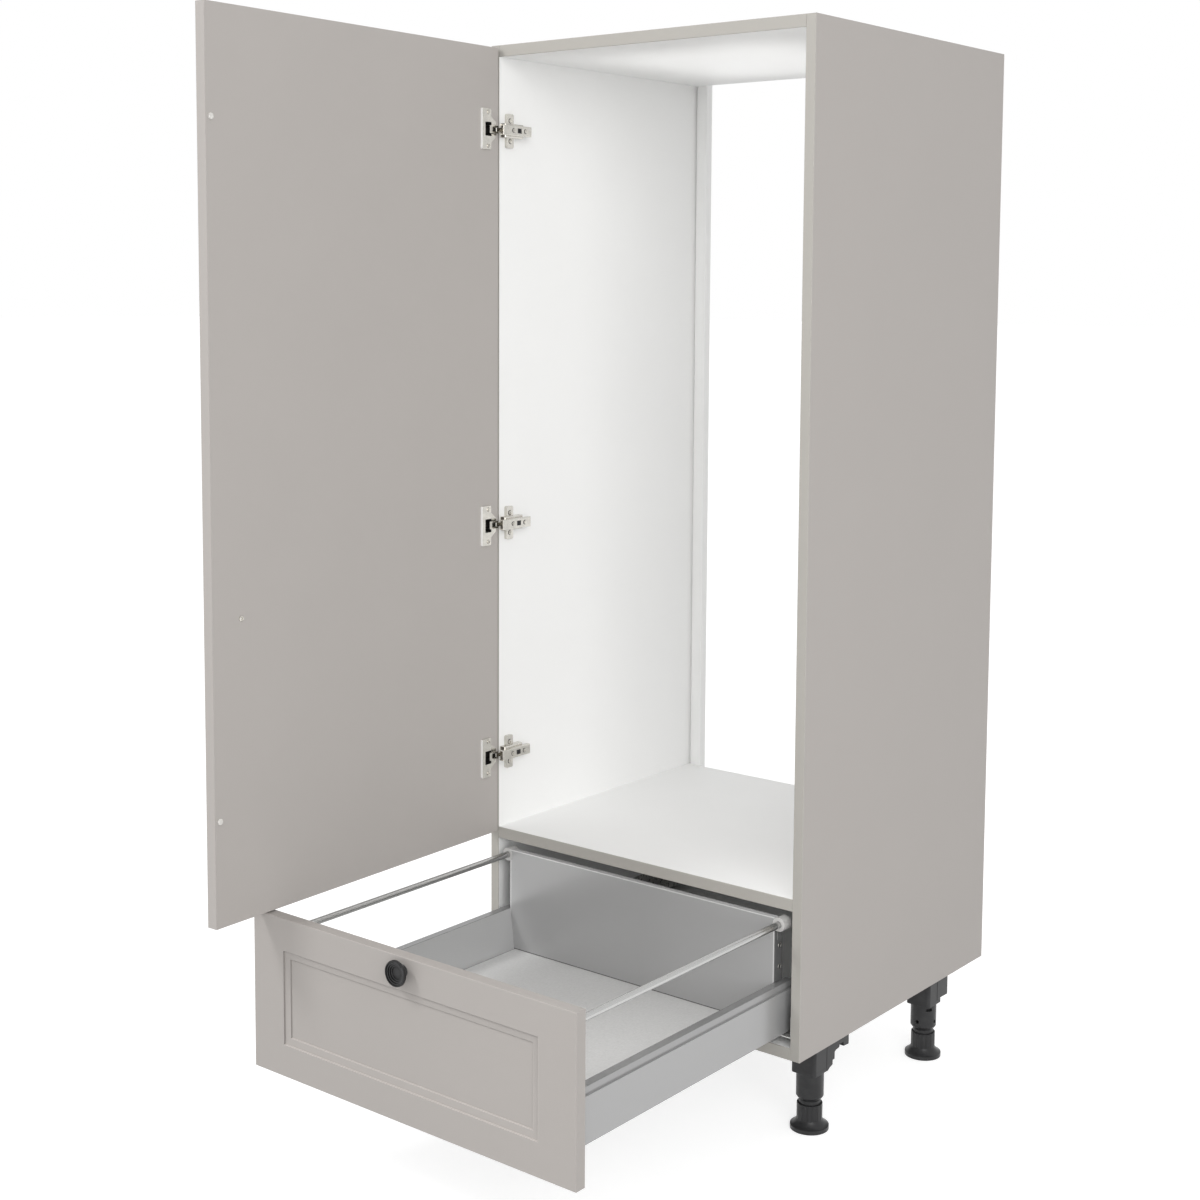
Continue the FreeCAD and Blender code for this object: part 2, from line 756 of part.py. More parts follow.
def door():
    panel = milled_front(door_height).translated(V(0, front_back_y, door_bottom))
    out = V(0, 1, 0)
    pockets = []
    cup_screws = []
    pins = []
    pieces = {}
    for name, level in hinge_levels.items():
        pockets.append(Part.makeCylinder(cup_diameter / 2 + cup_clearance, cup_depth + cup_clearance,
                                         cup_centre(level), V(0, -1, 0)))
        for point in cup_screw_points(level):
            pockets.append(aimed(screw_hole(wood_screw, wood_screw[3] + screw_clearance), point, out))
            cup_screws.append(aimed(screw(wood_screw), point, out))
        pins.append(hinge_pin(level))
        pieces["%s_hinge_cup" % name] = hinge_cup(level)
    knob_place = V(-door_edge_x - door_knob_from_edge, front_back_y, door_bottom + door_knob_rise)
    knob_shape, fastener, hole = knob_and_screw(knob_place)
    buffer_x = -door_edge_x - buffer_from_edge
    buffer_height = front_gap - buffer_play
    radius = buffer_diameter / 2
    pad = turned([(0, 0), (radius, 0), (radius, buffer_height - buffer_dome),
                  (radius - buffer_dome, buffer_height), (0, buffer_height)])
    ends = (door_bottom + buffer_end_inset, door_bottom + door_height - buffer_end_inset)
    buffers = [aimed(pad, V(buffer_x, front_back_y, z), out) for z in ends]
    pieces["door_panel"] = panel.cut(pockets + [hole])
    pieces["hinge_pins"] = solids(*pins)
    pieces["hinge_cup_screws"] = solids(*cup_screws)
    pieces["door_knob"] = knob_shape
    pieces["door_knob_screw"] = fastener
    pieces["door_buffers"] = solids(*buffers)
    for name, shape in pieces.items():
        shape.rotate(pole, V(0, 0, 1), -door_open_angle)
        nodes[name] = shape


def hinges():
    for name, level in hinge_levels.items():
        nodes["%s_hinge_plate" % name] = hinge_plate(level)
        nodes["%s_hinge_arm" % name] = hinge_arm(level)
        nodes["%s_hinge_link" % name] = hinge_link(level)
        nodes["%s_hinge_lever" % name] = hinge_lever(level)
    out = V(1, 0, 0)
    arm_points = [p for level in hinge_levels.values() for p in arm_screw_points(level)]
    nodes["hinge_arm_screws"] = solids(*[aimed(screw(machine_screw), p, out) for p in arm_points])


# Drawer. Heights are above the floor of the drawer bay, widths run in from the right side panel.


def wall_outer_x():
    return inner_half - wall_gap


def wall_foot_x():
    return wall_outer_x() - band_inset - side_top_width - wall_lean


def drawer_side():
    base_low = bay_floor + base_top - base_thickness
    top = bay_floor + drawer_side_top
    band = wall_outer_x() - band_inset
    foot_x = wall_foot_x()
    path = [
        (foot_x - base_ledge, base_low), (foot_x, base_low), (foot_x + wall_lean, top), (band, top),
        (band, top - band_height), (wall_outer_x(), top - band_height),
        (wall_outer_x(), bay_floor + drawer_side_bottom),
    ]
    wall = prism(bent_sheet(path, sheet), "y", drawer_y, drawer_rear_y)
    # Behind the back only the outer wall and the top run on, clear of the back bracket.
    tail_path = [(bracket_face_x() + base_clearance, top)] + path[3:]
    return wall.fuse(prism(bent_sheet(tail_path, sheet), "y", drawer_rear_y, drawer_rear_y + side_tail))


def back_half():
    return wall_foot_x() + back_overlap


def bracket_face_x():
    return back_half() + bracket_sheet


def drawer_back():
    low = bay_floor + base_top - base_thickness
    top = bay_ceiling - back_headroom
    rear = drawer_rear_y + back_return
    path = [(rear, low), (drawer_rear_y, low), (drawer_rear_y, top), (rear, top)]
    panel = prism(bent_sheet(path, sheet), "x", -back_half(), back_half())
    seat = rod(rear_socket_diameter / 2 + socket_clearance, gallery_axis(drawer_rear_y), gallery_axis(rear))
    return panel.cut([seat, mirrored(seat)])


def rivet_places():
    x = back_half() - rivet_edge
    middle = (bay_floor + bracket_bottom + bay_ceiling - bracket_headroom) / 2
    y = drawer_rear_y + sheet + bracket_sheet
    return [V(x, y, middle + sign * rivet_spacing / 2) for sign in (-1, 1)]


def rivet_holes():
    shank = V(0, sheet + bracket_sheet, 0)
    return [rod(rivet_diameter / 2 + screw_clearance, p - shank, p) for p in rivet_places()]


def gallery_axis(y):
    return V(inner_half - gallery_inset, y, bay_ceiling - gallery_drop)


def back_bracket():
    # An angle: one leg is riveted behind the back, the other faces outwards, and a foot reaches the wall.
    front = drawer_rear_y + sheet
    behind = front + bracket_sheet
    low = bay_floor + bracket_bottom
    high = bay_ceiling - bracket_headroom
    face = bracket_face_x()
    wall = wall_outer_x() - sheet
    inner_leg = box((back_half() - bracket_lap, face), (front, behind), (low, high))
    outer_leg = box((back_half(), face), (drawer_rear_y, drawer_rear_y + bracket_depth), (low, high))
    foot_high = low + bracket_tab_height
    reach = box((face, wall), (front, behind), (low, foot_high))
    tab = box((wall - bracket_sheet, wall), (front, front + bracket_tab_length), (low, foot_high))
    middle = bay_floor + bracket_hole_height
    holes = []
    for sign in (-1, 1):
        level = middle + sign * bracket_hole_spacing / 2
        start = V(back_half(), drawer_rear_y + bracket_hole_setback, level)
        holes.append(rod(bracket_hole_diameter / 2, start, start + V(bracket_sheet, 0, 0)))
    return inner_leg.fuse([outer_leg, reach, tab]).cut(holes + rivet_holes())


def gallery_rail():
    start = gallery_axis(drawer_y + front_socket_length - socket_grip)
    end = gallery_axis(drawer_rear_y + socket_grip)
    outer = rod(gallery_diameter / 2, start, end)
    return outer.cut(rod(gallery_diameter / 2 - gallery_wall, start, end))


def gallery_sockets():
    grip = V(0, socket_grip + socket_clearance, 0)
    bore_radius = gallery_diameter / 2 + socket_clearance
    front_mouth = gallery_axis(drawer_y + front_socket_length)
    front = rod(front_socket_diameter / 2, gallery_axis(drawer_y), front_mouth)
    front = front.cut(rod(bore_radius, front_mouth - grip, front_mouth))
    rear_mouth = gallery_axis(drawer_rear_y)
    rear = rod(rear_socket_diameter / 2, rear_mouth, rear_mouth + V(0, rear_socket_length, 0))
    # A lug below the rear socket lies on the bracket's outer leg.
    lug_thickness, lug_drop = socket_lug
    lug_low = bay_ceiling - bracket_headroom - lug_drop
    lug_run = (drawer_rear_y + socket_lug_inset, drawer_rear_y + rear_socket_length - socket_lug_inset)
    face = bracket_face_x()
    rear = rear.fuse(box((face, face + lug_thickness), lug_run, (lug_low, rear_mouth.z)))
    rear = rear.cut(rod(bore_radius, rear_mouth, rear_mouth + grip))
    return [front, rear]


def fixing_span():
    # Room inside a steel side, between its leaning wall's top and its outer wall.
    return wall_outer_x() - band_inset - side_top_width + sheet, wall_outer_x() - sheet


def fixing_screw_points():
    x = sum(fixing_span()) / 2
    middle = bay_floor + fixing_bottom + fixing_height / 2
    return [V(x, drawer_y + fixing_floor, middle + sign * fixing_screw_spacing / 2) for sign in (-1, 1)]


def front_fixing():
    low = bay_floor + fixing_bottom
    block = box(fixing_span(), (drawer_y, drawer_y + fixing_length), (low, low + fixing_height))
    wells = []
    for point in fixing_screw_points():
        wells.append(rod(wood_screw[0] / 2 + screw_clearance, point, point + V(0, fixing_length, 0)))
        wells.append(rod(wood_screw[2] / 2 + screw_clearance, point - V(0, fixing_floor, 0), point))
    return block.cut(wells)


def drawer():
    front = milled_front(drawer_front_height).translated(V(0, drawer_y, drawer_front_bottom))
    knob_level = drawer_front_bottom + drawer_front_height - drawer_knob_from_top
    knob_shape, fastener, hole = knob_and_screw(V(0, drawer_y, knob_level))
    back_way = V(0, 1, 0)
    points = fixing_screw_points()
    hole_depth = wood_screw[3] + screw_clearance
    screw_holes = [aimed(screw_hole(wood_screw, hole_depth), p, back_way) for p in points]
    nodes["drawer_front"] = front.cut([hole] + screw_holes + [mirrored(h) for h in screw_holes])
    nodes["drawer_knob"] = knob_shape
    nodes["drawer_knob_screw"] = fastener
    fixing_screws = [aimed(screw(wood_screw), p, back_way) for p in points]
    nodes["front_fixing_screws"] = solids(*(fixing_screws + [mirrored(s) for s in fixing_screws]))
    fixing = front_fixing()
    nodes["front_fixings"] = solids(fixing, mirrored(fixing))

    both_sides("drawer_side", drawer_side())
    base_half = wall_foot_x() - base_clearance
    base_low = bay_floor + base_top - base_thickness
    nodes["drawer_base"] = box((-base_half, base_half), (drawer_y, drawer_rear_y),
                               (base_low, base_low + base_thickness))
    back_holes = rivet_holes()
    nodes["drawer_back"] = drawer_back().cut(back_holes + [mirrored(h) for h in back_holes])
    both_sides("back_bracket", back_bracket())
    head, height = rivet_head
    rivet = headed((head, height, rivet_diameter, sheet + bracket_sheet))
    rivets = [aimed(rivet, p, back_way) for p in rivet_places()]
    nodes["bracket_rivets"] = solids(*(rivets + [mirrored(r) for r in rivets]))
    rail = gallery_rail()
    nodes["gallery_rails"] = solids(rail, mirrored(rail))
    sockets = gallery_sockets()
    nodes["gallery_sockets"] = solids(*(sockets + [mirrored(s) for s in sockets]))


# Runners


def runners():
    low = bay_floor + rail_bottom
    lip_x = inner_half - rail_web
    path = [(inner_half, low + rail_flange_height), (inner_half, low), (lip_x, low), (lip_x, low + rail_lip)]
    cabinet_rail = prism(bent_sheet(path, rail_sheet), "y", *rail_run)
    inward = V(-1, 0, 0)
    holes = [aimed(screw_hole(wood_screw, rail_sheet), p, inward) for p in rail_screw_points()]
    both_sides("cabinet_rail", cabinet_rail.cut(holes))

    wall = wall_outer_x() - sheet
    mid_low = low + rail_sheet + slide_clearance
    mid_high = mid_low + mid_rail_height
    mid_near = lip_x + rail_sheet + slide_clearance
    mid_far = wall - rail_sheet - slide_clearance
    mid_travel = drawer_travel / 2
    mid_run = (rail_run[0] + mid_rail_inset - mid_travel, rail_run[1] - mid_rail_rear_inset - mid_travel)
    tube = box((mid_near, mid_far), mid_run, (mid_low, mid_high))
    hollow = box((mid_near + rail_sheet, mid_far - rail_sheet), mid_run,
                 (mid_low + rail_sheet, mid_high - rail_sheet))
    both_sides("mid_rail", tube.cut(hollow))

    cap = mid_high + slide_clearance + rail_sheet
    path = [(lip_x - slide_clearance, cap), (wall, cap), (wall, bay_floor + drawer_side_bottom)]
    both_sides("drawer_rail", prism(bent_sheet(path, rail_sheet), "y", drawer_y + drawer_rail_front,
                                    drawer_rear_y - drawer_rail_rear))


def carcass_screws():
    # The wood screws of the legs, the hinge plates and the cabinet rails.
    fastener = screw(wood_screw)
    rail_screws = [aimed(fastener, p, V(-1, 0, 0)) for p in rail_screw_points()]
    plate_screws = [aimed(fastener, p, V(1, 0, 0)) for p in plate_screw_points()]
    leg_screws = [aimed(fastener, p, V(0, 0, -1)) for p in leg_screw_places()]
    others = [mirrored(s) for s in rail_screws]
    nodes["carcass_screws"] = solids(*(rail_screws + others + plate_screws + leg_screws))


carcass()
legs()
hinges()
door()
drawer()
runners()
carcass_screws()

os.makedirs("parts", exist_ok=True)
for name, shape in nodes.items():
    if not shape.isValid():
        print("not valid:", name)
    shape.exportStep("parts/%s.step" % name)
print(len(nodes), "nodes")
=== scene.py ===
import json
import math

import bmesh
import bpy
import numpy as np
from mathutils import Matrix, Vector

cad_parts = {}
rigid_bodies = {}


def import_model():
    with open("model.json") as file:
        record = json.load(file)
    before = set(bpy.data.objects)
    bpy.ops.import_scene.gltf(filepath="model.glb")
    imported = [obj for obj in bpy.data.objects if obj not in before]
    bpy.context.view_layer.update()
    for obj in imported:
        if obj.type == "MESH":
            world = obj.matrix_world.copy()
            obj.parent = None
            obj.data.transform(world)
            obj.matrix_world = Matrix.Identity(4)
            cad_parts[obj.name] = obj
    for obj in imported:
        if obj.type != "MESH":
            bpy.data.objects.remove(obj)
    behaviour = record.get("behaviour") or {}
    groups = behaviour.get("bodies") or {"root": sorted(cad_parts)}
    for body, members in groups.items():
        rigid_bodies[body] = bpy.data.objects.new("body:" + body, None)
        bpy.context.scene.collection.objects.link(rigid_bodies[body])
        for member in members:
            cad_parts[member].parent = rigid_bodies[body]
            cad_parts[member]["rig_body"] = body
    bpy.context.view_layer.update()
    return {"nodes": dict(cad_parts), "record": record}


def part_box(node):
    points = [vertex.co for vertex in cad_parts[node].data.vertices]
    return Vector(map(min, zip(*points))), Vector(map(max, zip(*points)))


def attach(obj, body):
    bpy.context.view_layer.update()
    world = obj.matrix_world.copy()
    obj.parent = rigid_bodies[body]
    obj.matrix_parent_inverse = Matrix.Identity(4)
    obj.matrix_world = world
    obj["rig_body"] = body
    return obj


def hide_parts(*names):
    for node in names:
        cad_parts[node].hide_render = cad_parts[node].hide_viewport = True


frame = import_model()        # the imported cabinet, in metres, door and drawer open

scene = bpy.context.scene
cadNodes = frame["nodes"]
slotOf = {part["node"]: part["material_slot"] for part in frame["record"]["subparts"]}
hingeLevels = ("lower", "middle", "upper")
mm = 0.001
print("frame loaded:", len(cadNodes), "nodes")


# small helpers for node trees

def feed(tree, socket, value):
    # a socket takes either another node's output or a plain value
    if isinstance(value, bpy.types.NodeSocket):
        tree.links.new(value, socket)
    else:
        socket.default_value = value


def feedAll(tree, node, values):
    for label, value in values.items():
        feed(tree, node.inputs[label], value)


def addNode(tree, kind, values=None, **settings):
    # values are for the node's inputs, by label or number
    node = tree.nodes.new(kind)
    for key, value in settings.items():
        setattr(node, key, value)
    feedAll(tree, node, values or {})
    return node


def calc(tree, operation, *values):
    return addNode(tree, "ShaderNodeMath", dict(enumerate(values)), operation=operation).outputs[0]


def splitAxes(tree, vector):
    return addNode(tree, "ShaderNodeSeparateXYZ", {0: vector}).outputs


def alongDirection(tree, vector, direction):
    node = addNode(tree, "ShaderNodeVectorMath", {0: vector, 1: direction}, operation="DOT_PRODUCT")
    return node.outputs["Value"]


def noise(tree, vector, scale, detail=2.0, roughness=0.5):
    values = {"Vector": vector, "Scale": scale, "Detail": detail, "Roughness": roughness}
    return addNode(tree, "ShaderNodeTexNoise", values).outputs["Fac"]


def blendColour(tree, factor, first, second, blend="MIX"):
    values = {"Factor": factor, "A": first, "B": second}
    return addNode(tree, "ShaderNodeMix", values, data_type="RGBA", blend_type=blend).outputs["Result"]


def spread(tree, value, low, high, first=0.0, second=1.0):
    values = dict(enumerate((value, low, high, first, second)))
    return addNode(tree, "ShaderNodeMapRange", values).outputs["Result"]


def between(tree, mask, first, second):
    return spread(tree, mask, 0.0, 1.0, first, second)


noiseRange = (0.3, 0.7)            # where most of a noise's values lie


def overNoise(tree, value, first=0.0, second=1.0):
    return spread(tree, value, *noiseRange, first, second)


def newGroup(name, values, results):
    # a shader group that takes a vector and named values, and gives named numbers
    group = bpy.data.node_groups.new(name, "ShaderNodeTree")
    sockets = group.interface
    sockets.new_socket("Vector", in_out="INPUT", socket_type="NodeSocketVector")
    for label, value in values.items():
        kind = "NodeSocketVector" if isinstance(value, tuple) else "NodeSocketFloat"
        sockets.new_socket(label, in_out="INPUT", socket_type=kind).default_value = value
    for label in results:
        sockets.new_socket(label, in_out="OUTPUT", socket_type="NodeSocketFloat")
    return group, group.nodes.new("NodeGroupInput").outputs, group.nodes.new("NodeGroupOutput").inputs


# effects that several finishes share

def makeLaminateSkin():
    # faint mottle and pinprick grain of a pressed laminate or foil
    values = {"Grain Scale": 900.0, "Mottle Scale": 7.0, "Contrast": 0.03}
    group, into, out = newGroup("laminateSkin", values, ("Tone", "Grain"))
    grainShare = 0.45
    evenTone = 0.5 * (1.0 + grainShare)
    grain = noise(group, into["Vector"], into["Grain Scale"], detail=3.0, roughness=0.6)
    mottle = noise(group, into["Vector"], into["Mottle Scale"], detail=4.0, roughness=0.55)
    lift = calc(group, "SUBTRACT", calc(group, "MULTIPLY_ADD", grain, grainShare, mottle), evenTone)
    feed(group, out["Tone"], calc(group, "MULTIPLY_ADD", lift, into["Contrast"], 1.0))
    feed(group, out["Grain"], grain)
    return group


def makeDrawnSheet():
    # fine lines left on sheet metal along its rolling direction
    values = {"Stretch": (1.0, 1.0, 1.0), "Patch Scale": 9.0}
    group, into, out = newGroup("drawnSheet", values, ("Streak", "Patch"))
    values = {0: into["Vector"], 1: into["Stretch"]}
    scaled = addNode(group, "ShaderNodeVectorMath", values, operation="MULTIPLY").outputs[0]
    feed(group, out["Streak"], noise(group, scaled, 1.0, detail=3.0, roughness=0.65))
    feed(group, out["Patch"], noise(group, into["Vector"], into["Patch Scale"], detail=3.0))
    return group


def makeMouldedSkin():
    # eroded tool texture of moulded plastic, with paler rubbed patches
    values = {"Texture Scale": 1400.0, "Rub Scale": 40.0}
    group, into, out = newGroup("mouldedSkin", values, ("Pit", "Rub"))
    rubbedFrom, rubbedTo = 0.45, 0.75
    values = {"Vector": into["Vector"], "Scale": into["Texture Scale"]}
    pits = addNode(group, "ShaderNodeTexVoronoi", values, feature="SMOOTH_F1")
    feed(group, out["Pit"], pits.outputs["Distance"])
    rub = noise(group, into["Vector"], into["Rub Scale"], detail=5.0, roughness=0.6)
    feed(group, out["Rub"], spread(group, rub, rubbedFrom, rubbedTo))
    return group


def makePaintedMilledShade():
    # painted shade and highlight on the two milled steps round a front's panel: 1 along the top and left,
    # where shade is painted, -1 along the foot and right, where highlight is painted
    values = {"Half Width": 0.2, "Half Height": 0.07, "Second Step": 0.01, "Line Width": 0.001}
    group, into, out = newGroup("paintedMilledShade", values, ("Line",))
    axes = splitAxes(group, into["Vector"])
    across = calc(group, "SUBTRACT", into["Half Width"], calc(group, "ABSOLUTE", axes["X"]))
    upright = calc(group, "SUBTRACT", into["Half Height"], calc(group, "ABSOLUTE", axes["Z"]))
    inset = calc(group, "MINIMUM", across, upright)
    shown = 0.0
    for step in (0.0, into["Second Step"]):
        away = calc(group, "ABSOLUTE", calc(group, "SUBTRACT", inset, step))
        line = calc(group, "SUBTRACT", 1.0, calc(group, "DIVIDE", away, into["Line Width"]))
        shown = calc(group, "MAXIMUM", line, shown)
    outer = calc(group, "LESS_THAN", axes["Y"], 0.0)
    level = calc(group, "LESS_THAN", upright, across)
    sideways = calc(group, "MULTIPLY", calc(group, "SIGN", axes["X"]), calc(group, "SUBTRACT", level, 1.0))
    side = calc(group, "MULTIPLY_ADD", calc(group, "SIGN", axes["Z"]), level, sideways)
    feed(group, out["Line"], calc(group, "MULTIPLY", calc(group, "MULTIPLY", shown, outer), side))
    return group


laminateSkin = makeLaminateSkin()
paintedMilledShade = makePaintedMilledShade()
drawnSheet = makeDrawnSheet()
mouldedSkin = makeMouldedSkin()


def newFinish(name):
    material = bpy.data.materials.new(name)
    material.use_nodes = True
    tree = material.node_tree
    shader = next(n for n in tree.nodes if n.type == "BSDF_PRINCIPLED")
    coords = addNode(tree, "ShaderNodeTexCoord").outputs["Object"]
    return material, tree, shader, coords


def placeGroup(tree, group, coords, values=None):
    return addNode(tree, "ShaderNodeGroup", dict(values or {}, Vector=coords), node_tree=group).outputs


def bumpFrom(tree, shader, height, distance, strength):
    values = {"Strength": strength, "Distance": distance, "Height": height}
    feed(tree, shader.inputs["Normal"], addNode(tree, "ShaderNodeBump", values).outputs["Normal"])


def tinted(tree, colour, tone):
    # multiplies a plain colour, or a colour output, by a grey tone
    grey = addNode(tree, "ShaderNodeCombineColor", {"Red": tone, "Green": tone, "Blue": tone})
    return blendColour(tree, 1.0, colour, grey.outputs["Color"], "MULTIPLY")


def linear(red, green, blue):
    # a colour written in 0 to 255 screen values
    return tuple(((c / 255 + 0.055) / 1.055) ** 2.4 if c > 10 else c / 255 / 12.92
                 for c in (red, green, blue)) + (1.0,)


boardFinish = {
    "greige": linear(178, 173, 169),
    "front": linear(173, 168, 164),
    "band": linear(177, 174, 168),
    "white": linear(247, 247, 246),
    "edgeBand": 1.0 * mm,          # thickness of the band on the front edges
    "sheetSide": 0.5 * mm,         # how far a side's white sheet reaches in from its inner face
    "roughness": (0.46, 0.58),
    "sheen": 0.35,
    "grainDepth": 0.04 * mm,
    "grainStrength": 0.5,
}


def pressLaminate(tree, shader, skin, colour, tone):
    # matt foil or laminate with its grain
    feedAll(tree, shader, {
        "Base Color": tinted(tree, colour, tone),
        "Roughness": overNoise(tree, skin["Grain"], *boardFinish["roughness"]),
        "Specular IOR Level": boardFinish["sheen"]})
    bumpFrom(tree, shader, skin["Grain"], boardFinish["grainDepth"], boardFinish["grainStrength"])


milledFrame = {
    "stile": 62.0 * mm,
    "rail": 47.0 * mm,
    "secondStep": 11.0 * mm,
    "lineWidth": 1.0 * mm,
    # strength of the painted shade and painted highlight along the milled steps
    "contrast": 0.3,
    "mottle": 0.035,
}
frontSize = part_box("drawer_front")[1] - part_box("drawer_front")[0]

# how far the door stands open, which way its inner face looks then, and where that face lies
openAngle = math.radians(next(j["range_deg"][1] for j in frame["record"]["behaviour"]["joints"]
                              if j["name"] == "door_hinge"))
doorNormal = (math.sin(openAngle), math.cos(openAngle), 0.0)
doorFace = max(Vector(doorNormal).dot(vertex.co) for vertex in cadNodes["door_panel"].data.vertices)


def makeGreigeFoil(nodeName, turn, colour):
    # foil over a milled front, with painted shade and highlight along its milled steps; turn is how far the
    # front stands from its closed place
    material, tree, shader, coords = newFinish(nodeName + "Foil")
    low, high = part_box(nodeName)
    values = {"Vector": coords, "Location": (low + high) / 2, "Rotation": (0.0, 0.0, turn)}
    own = addNode(tree, "ShaderNodeMapping", values, vector_type="TEXTURE")
    lines = placeGroup(tree, paintedMilledShade, own.outputs[0], {
        "Half Width": frontSize.x / 2 - milledFrame["stile"],
        "Half Height": (high.z - low.z) / 2 - milledFrame["rail"],
        "Second Step": milledFrame["secondStep"],
        "Line Width": milledFrame["lineWidth"]})
    skin = placeGroup(tree, laminateSkin, coords, {"Contrast": milledFrame["mottle"]})
    # painted shade along the top and left steps, painted highlight along the foot and right
    shade = calc(tree, "MULTIPLY_ADD", lines["Line"], -milledFrame["contrast"], 1.0)
    pressLaminate(tree, shader, skin, colour, calc(tree, "MULTIPLY", skin["Tone"], shade))
    return material


def makeCarcassLaminate():
    # greige outside and on the front edge bands, white inside
    material, tree, shader, coords = newFinish("carcassLaminate")
    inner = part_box("right_side_panel")[0]
    axes = splitAxes(tree, coords)
    away = calc(tree, "ABSOLUTE", axes["X"])
    outside = calc(tree, "GREATER_THAN", away, inner.x + boardFinish["sheetSide"])
    band = calc(tree, "LESS_THAN", axes["Y"], inner.y + boardFinish["edgeBand"])
    skin = placeGroup(tree, laminateSkin, coords)
    colour = blendColour(tree, outside, boardFinish["white"], boardFinish["greige"])
    colour = blendColour(tree, band, colour, boardFinish["band"])
    pressLaminate(tree, shader, skin, colour, skin["Tone"])
    return material


def makeWhiteLaminate():
    material, tree, shader, coords = newFinish("whiteLaminate")
    skin = placeGroup(tree, laminateSkin, coords)
    pressLaminate(tree, shader, skin, boardFinish["white"], skin["Tone"])
    return material


linenFinish = {
    "pale": linear(225, 225, 224),
    "dark": linear(203, 203, 202),
    "thread": 1.6 * mm,
    "slub": 7 * mm,
    "fineScale": 1500.0,
    "fineShare": 0.35,
    "shade": (0.45, 0.9),          # range of the weave that runs from dark to pale
    "roughness": (0.5, 0.62),
    "depth": 0.08 * mm,
    "strength": 0.5,
}


def makeLinenBoard():
    # printed linen weave: crossing slubby threads
    facts = linenFinish
    material, tree, shader, coords = newFinish("linenBoard")
    along = 1 / facts["slub"]
    across = 1 / facts["thread"]
    warp = placeGroup(tree, drawnSheet, coords, {"Stretch": (across, along, along)})
    weft = placeGroup(tree, drawnSheet, coords, {"Stretch": (along, across, along)})
    weave = calc(tree, "MULTIPLY_ADD", warp["Streak"], 0.5, calc(tree, "MULTIPLY", weft["Streak"], 0.5))
    mix = calc(tree, "MULTIPLY_ADD", noise(tree, coords, facts["fineScale"]), facts["fineShare"], weave)
    feedAll(tree, shader, {
        "Base Color": blendColour(tree, spread(tree, mix, *facts["shade"]), facts["dark"], facts["pale"]),
        "Roughness": overNoise(tree, weave, *facts["roughness"])})
    bumpFrom(tree, shader, mix, facts["depth"], facts["strength"])
    return material


sheetFinish = {
    "alongY": (1500.0, 3.0, 1500.0),
    "alongX": (3.0, 1500.0, 1500.0),
    "streakTone": (0.996, 1.004),
    "streakWear": 0.012,           # what streaks and patches add to the roughness
    "patchWear": 0.04,
    "depth": 0.002 * mm,
    "strength": 0.2,
}
steels = {
    "sideSteel": {"colour": linear(168, 168, 168), "lines": "alongY", "metallic": 0.3, "roughness": 0.22},
    "backSteel": {"colour": linear(173, 173, 173), "lines": "alongX", "metallic": 0.2, "roughness": 0.22},
    # the brackets' own grey, darkened further by painted shade of the drawer bay
    "bracketShadedSteel": {"colour": linear(122, 122, 122), "lines": "alongX", "metallic": 0.4, "roughness": 0.26},
    "rodSteel": {"colour": linear(190, 190, 189), "lines": "alongY", "metallic": 1.0, "roughness": 0.16},
}


def makeSatinSteel(name, shade=None):
    # silver lacquer on drawn steel sheet; shade paints light and shade onto its folds, joints and inner skin
    facts = steels[name]
    material, tree, shader, coords = newFinish(name)
    lines = placeGroup(tree, drawnSheet, coords, {"Stretch": sheetFinish[facts["lines"]]})
    tone = overNoise(tree, lines["Streak"], *sheetFinish["streakTone"])
    if shade:
        tone = calc(tree, "MULTIPLY", tone, shade(tree, coords))
    rough = facts["roughness"]
    worn = overNoise(tree, lines["Streak"], rough, rough + sheetFinish["streakWear"])
    feedAll(tree, shader, {
        "Base Color": tinted(tree, facts["colour"], tone),
        "Metallic": facts["metallic"],
        "Roughness": calc(tree, "MULTIPLY_ADD", lines["Patch"], sheetFinish["patchWear"], worn)})
    bumpFrom(tree, shader, lines["Streak"], sheetFinish["depth"], sheetFinish["strength"])
    return material


sideBend = {
    "top": 0.6 * mm,               # depth of the ribbed strip along the top
    "band": 11.5 * mm,             # height of the band above the outer wall
    "groove": 3.0 * mm,            # height of the groove at the band's foot
    "reach": 9.0 * mm,             # band and groove lie this close to the outer wall
    # painted shade on the top strip, the band and the groove
    "topPaintedShade": 0.6,
    "bandPaintedShade": 0.88,
    "groovePaintedShade": 0.72,
    "innerPaintedLight": 1.4,              # painted light: the inner skin is paler
}


def sidePaintedLight(tree, coords):
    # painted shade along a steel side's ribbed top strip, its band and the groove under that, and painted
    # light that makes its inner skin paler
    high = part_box("right_drawer_side")[1]
    foot = high.z - sideBend["band"]
    axes = splitAxes(tree, coords)
    away = calc(tree, "ABSOLUTE", axes["X"])
    outer = calc(tree, "GREATER_THAN", away, high.x - sideBend["reach"])
    top = calc(tree, "GREATER_THAN", axes["Z"], high.z - sideBend["top"])
    band = calc(tree, "MULTIPLY", outer, calc(tree, "GREATER_THAN", axes["Z"], foot))
    groove = calc(tree, "MULTIPLY", band, calc(tree, "LESS_THAN", axes["Z"], foot + sideBend["groove"]))
    tone = between(tree, outer, sideBend["innerPaintedLight"], 1.0)
    for mask, label in ((band, "bandPaintedShade"), (groove, "groovePaintedShade"), (top, "topPaintedShade")):
        tone = calc(tree, "MINIMUM", tone, between(tree, mask, sideBend["innerPaintedLight"], sideBend[label]))
    return tone


backFold = {
    "edge": 1.6 * mm,              # width of the painted highlight on the rolled edge along the top and both ends
    "edgePaintedHighlight": 1.75,
    "joint": 1.3 * mm,             # height of the painted shade in the joint over the drawer's base
    "jointPaintedShade": 0.3,
}


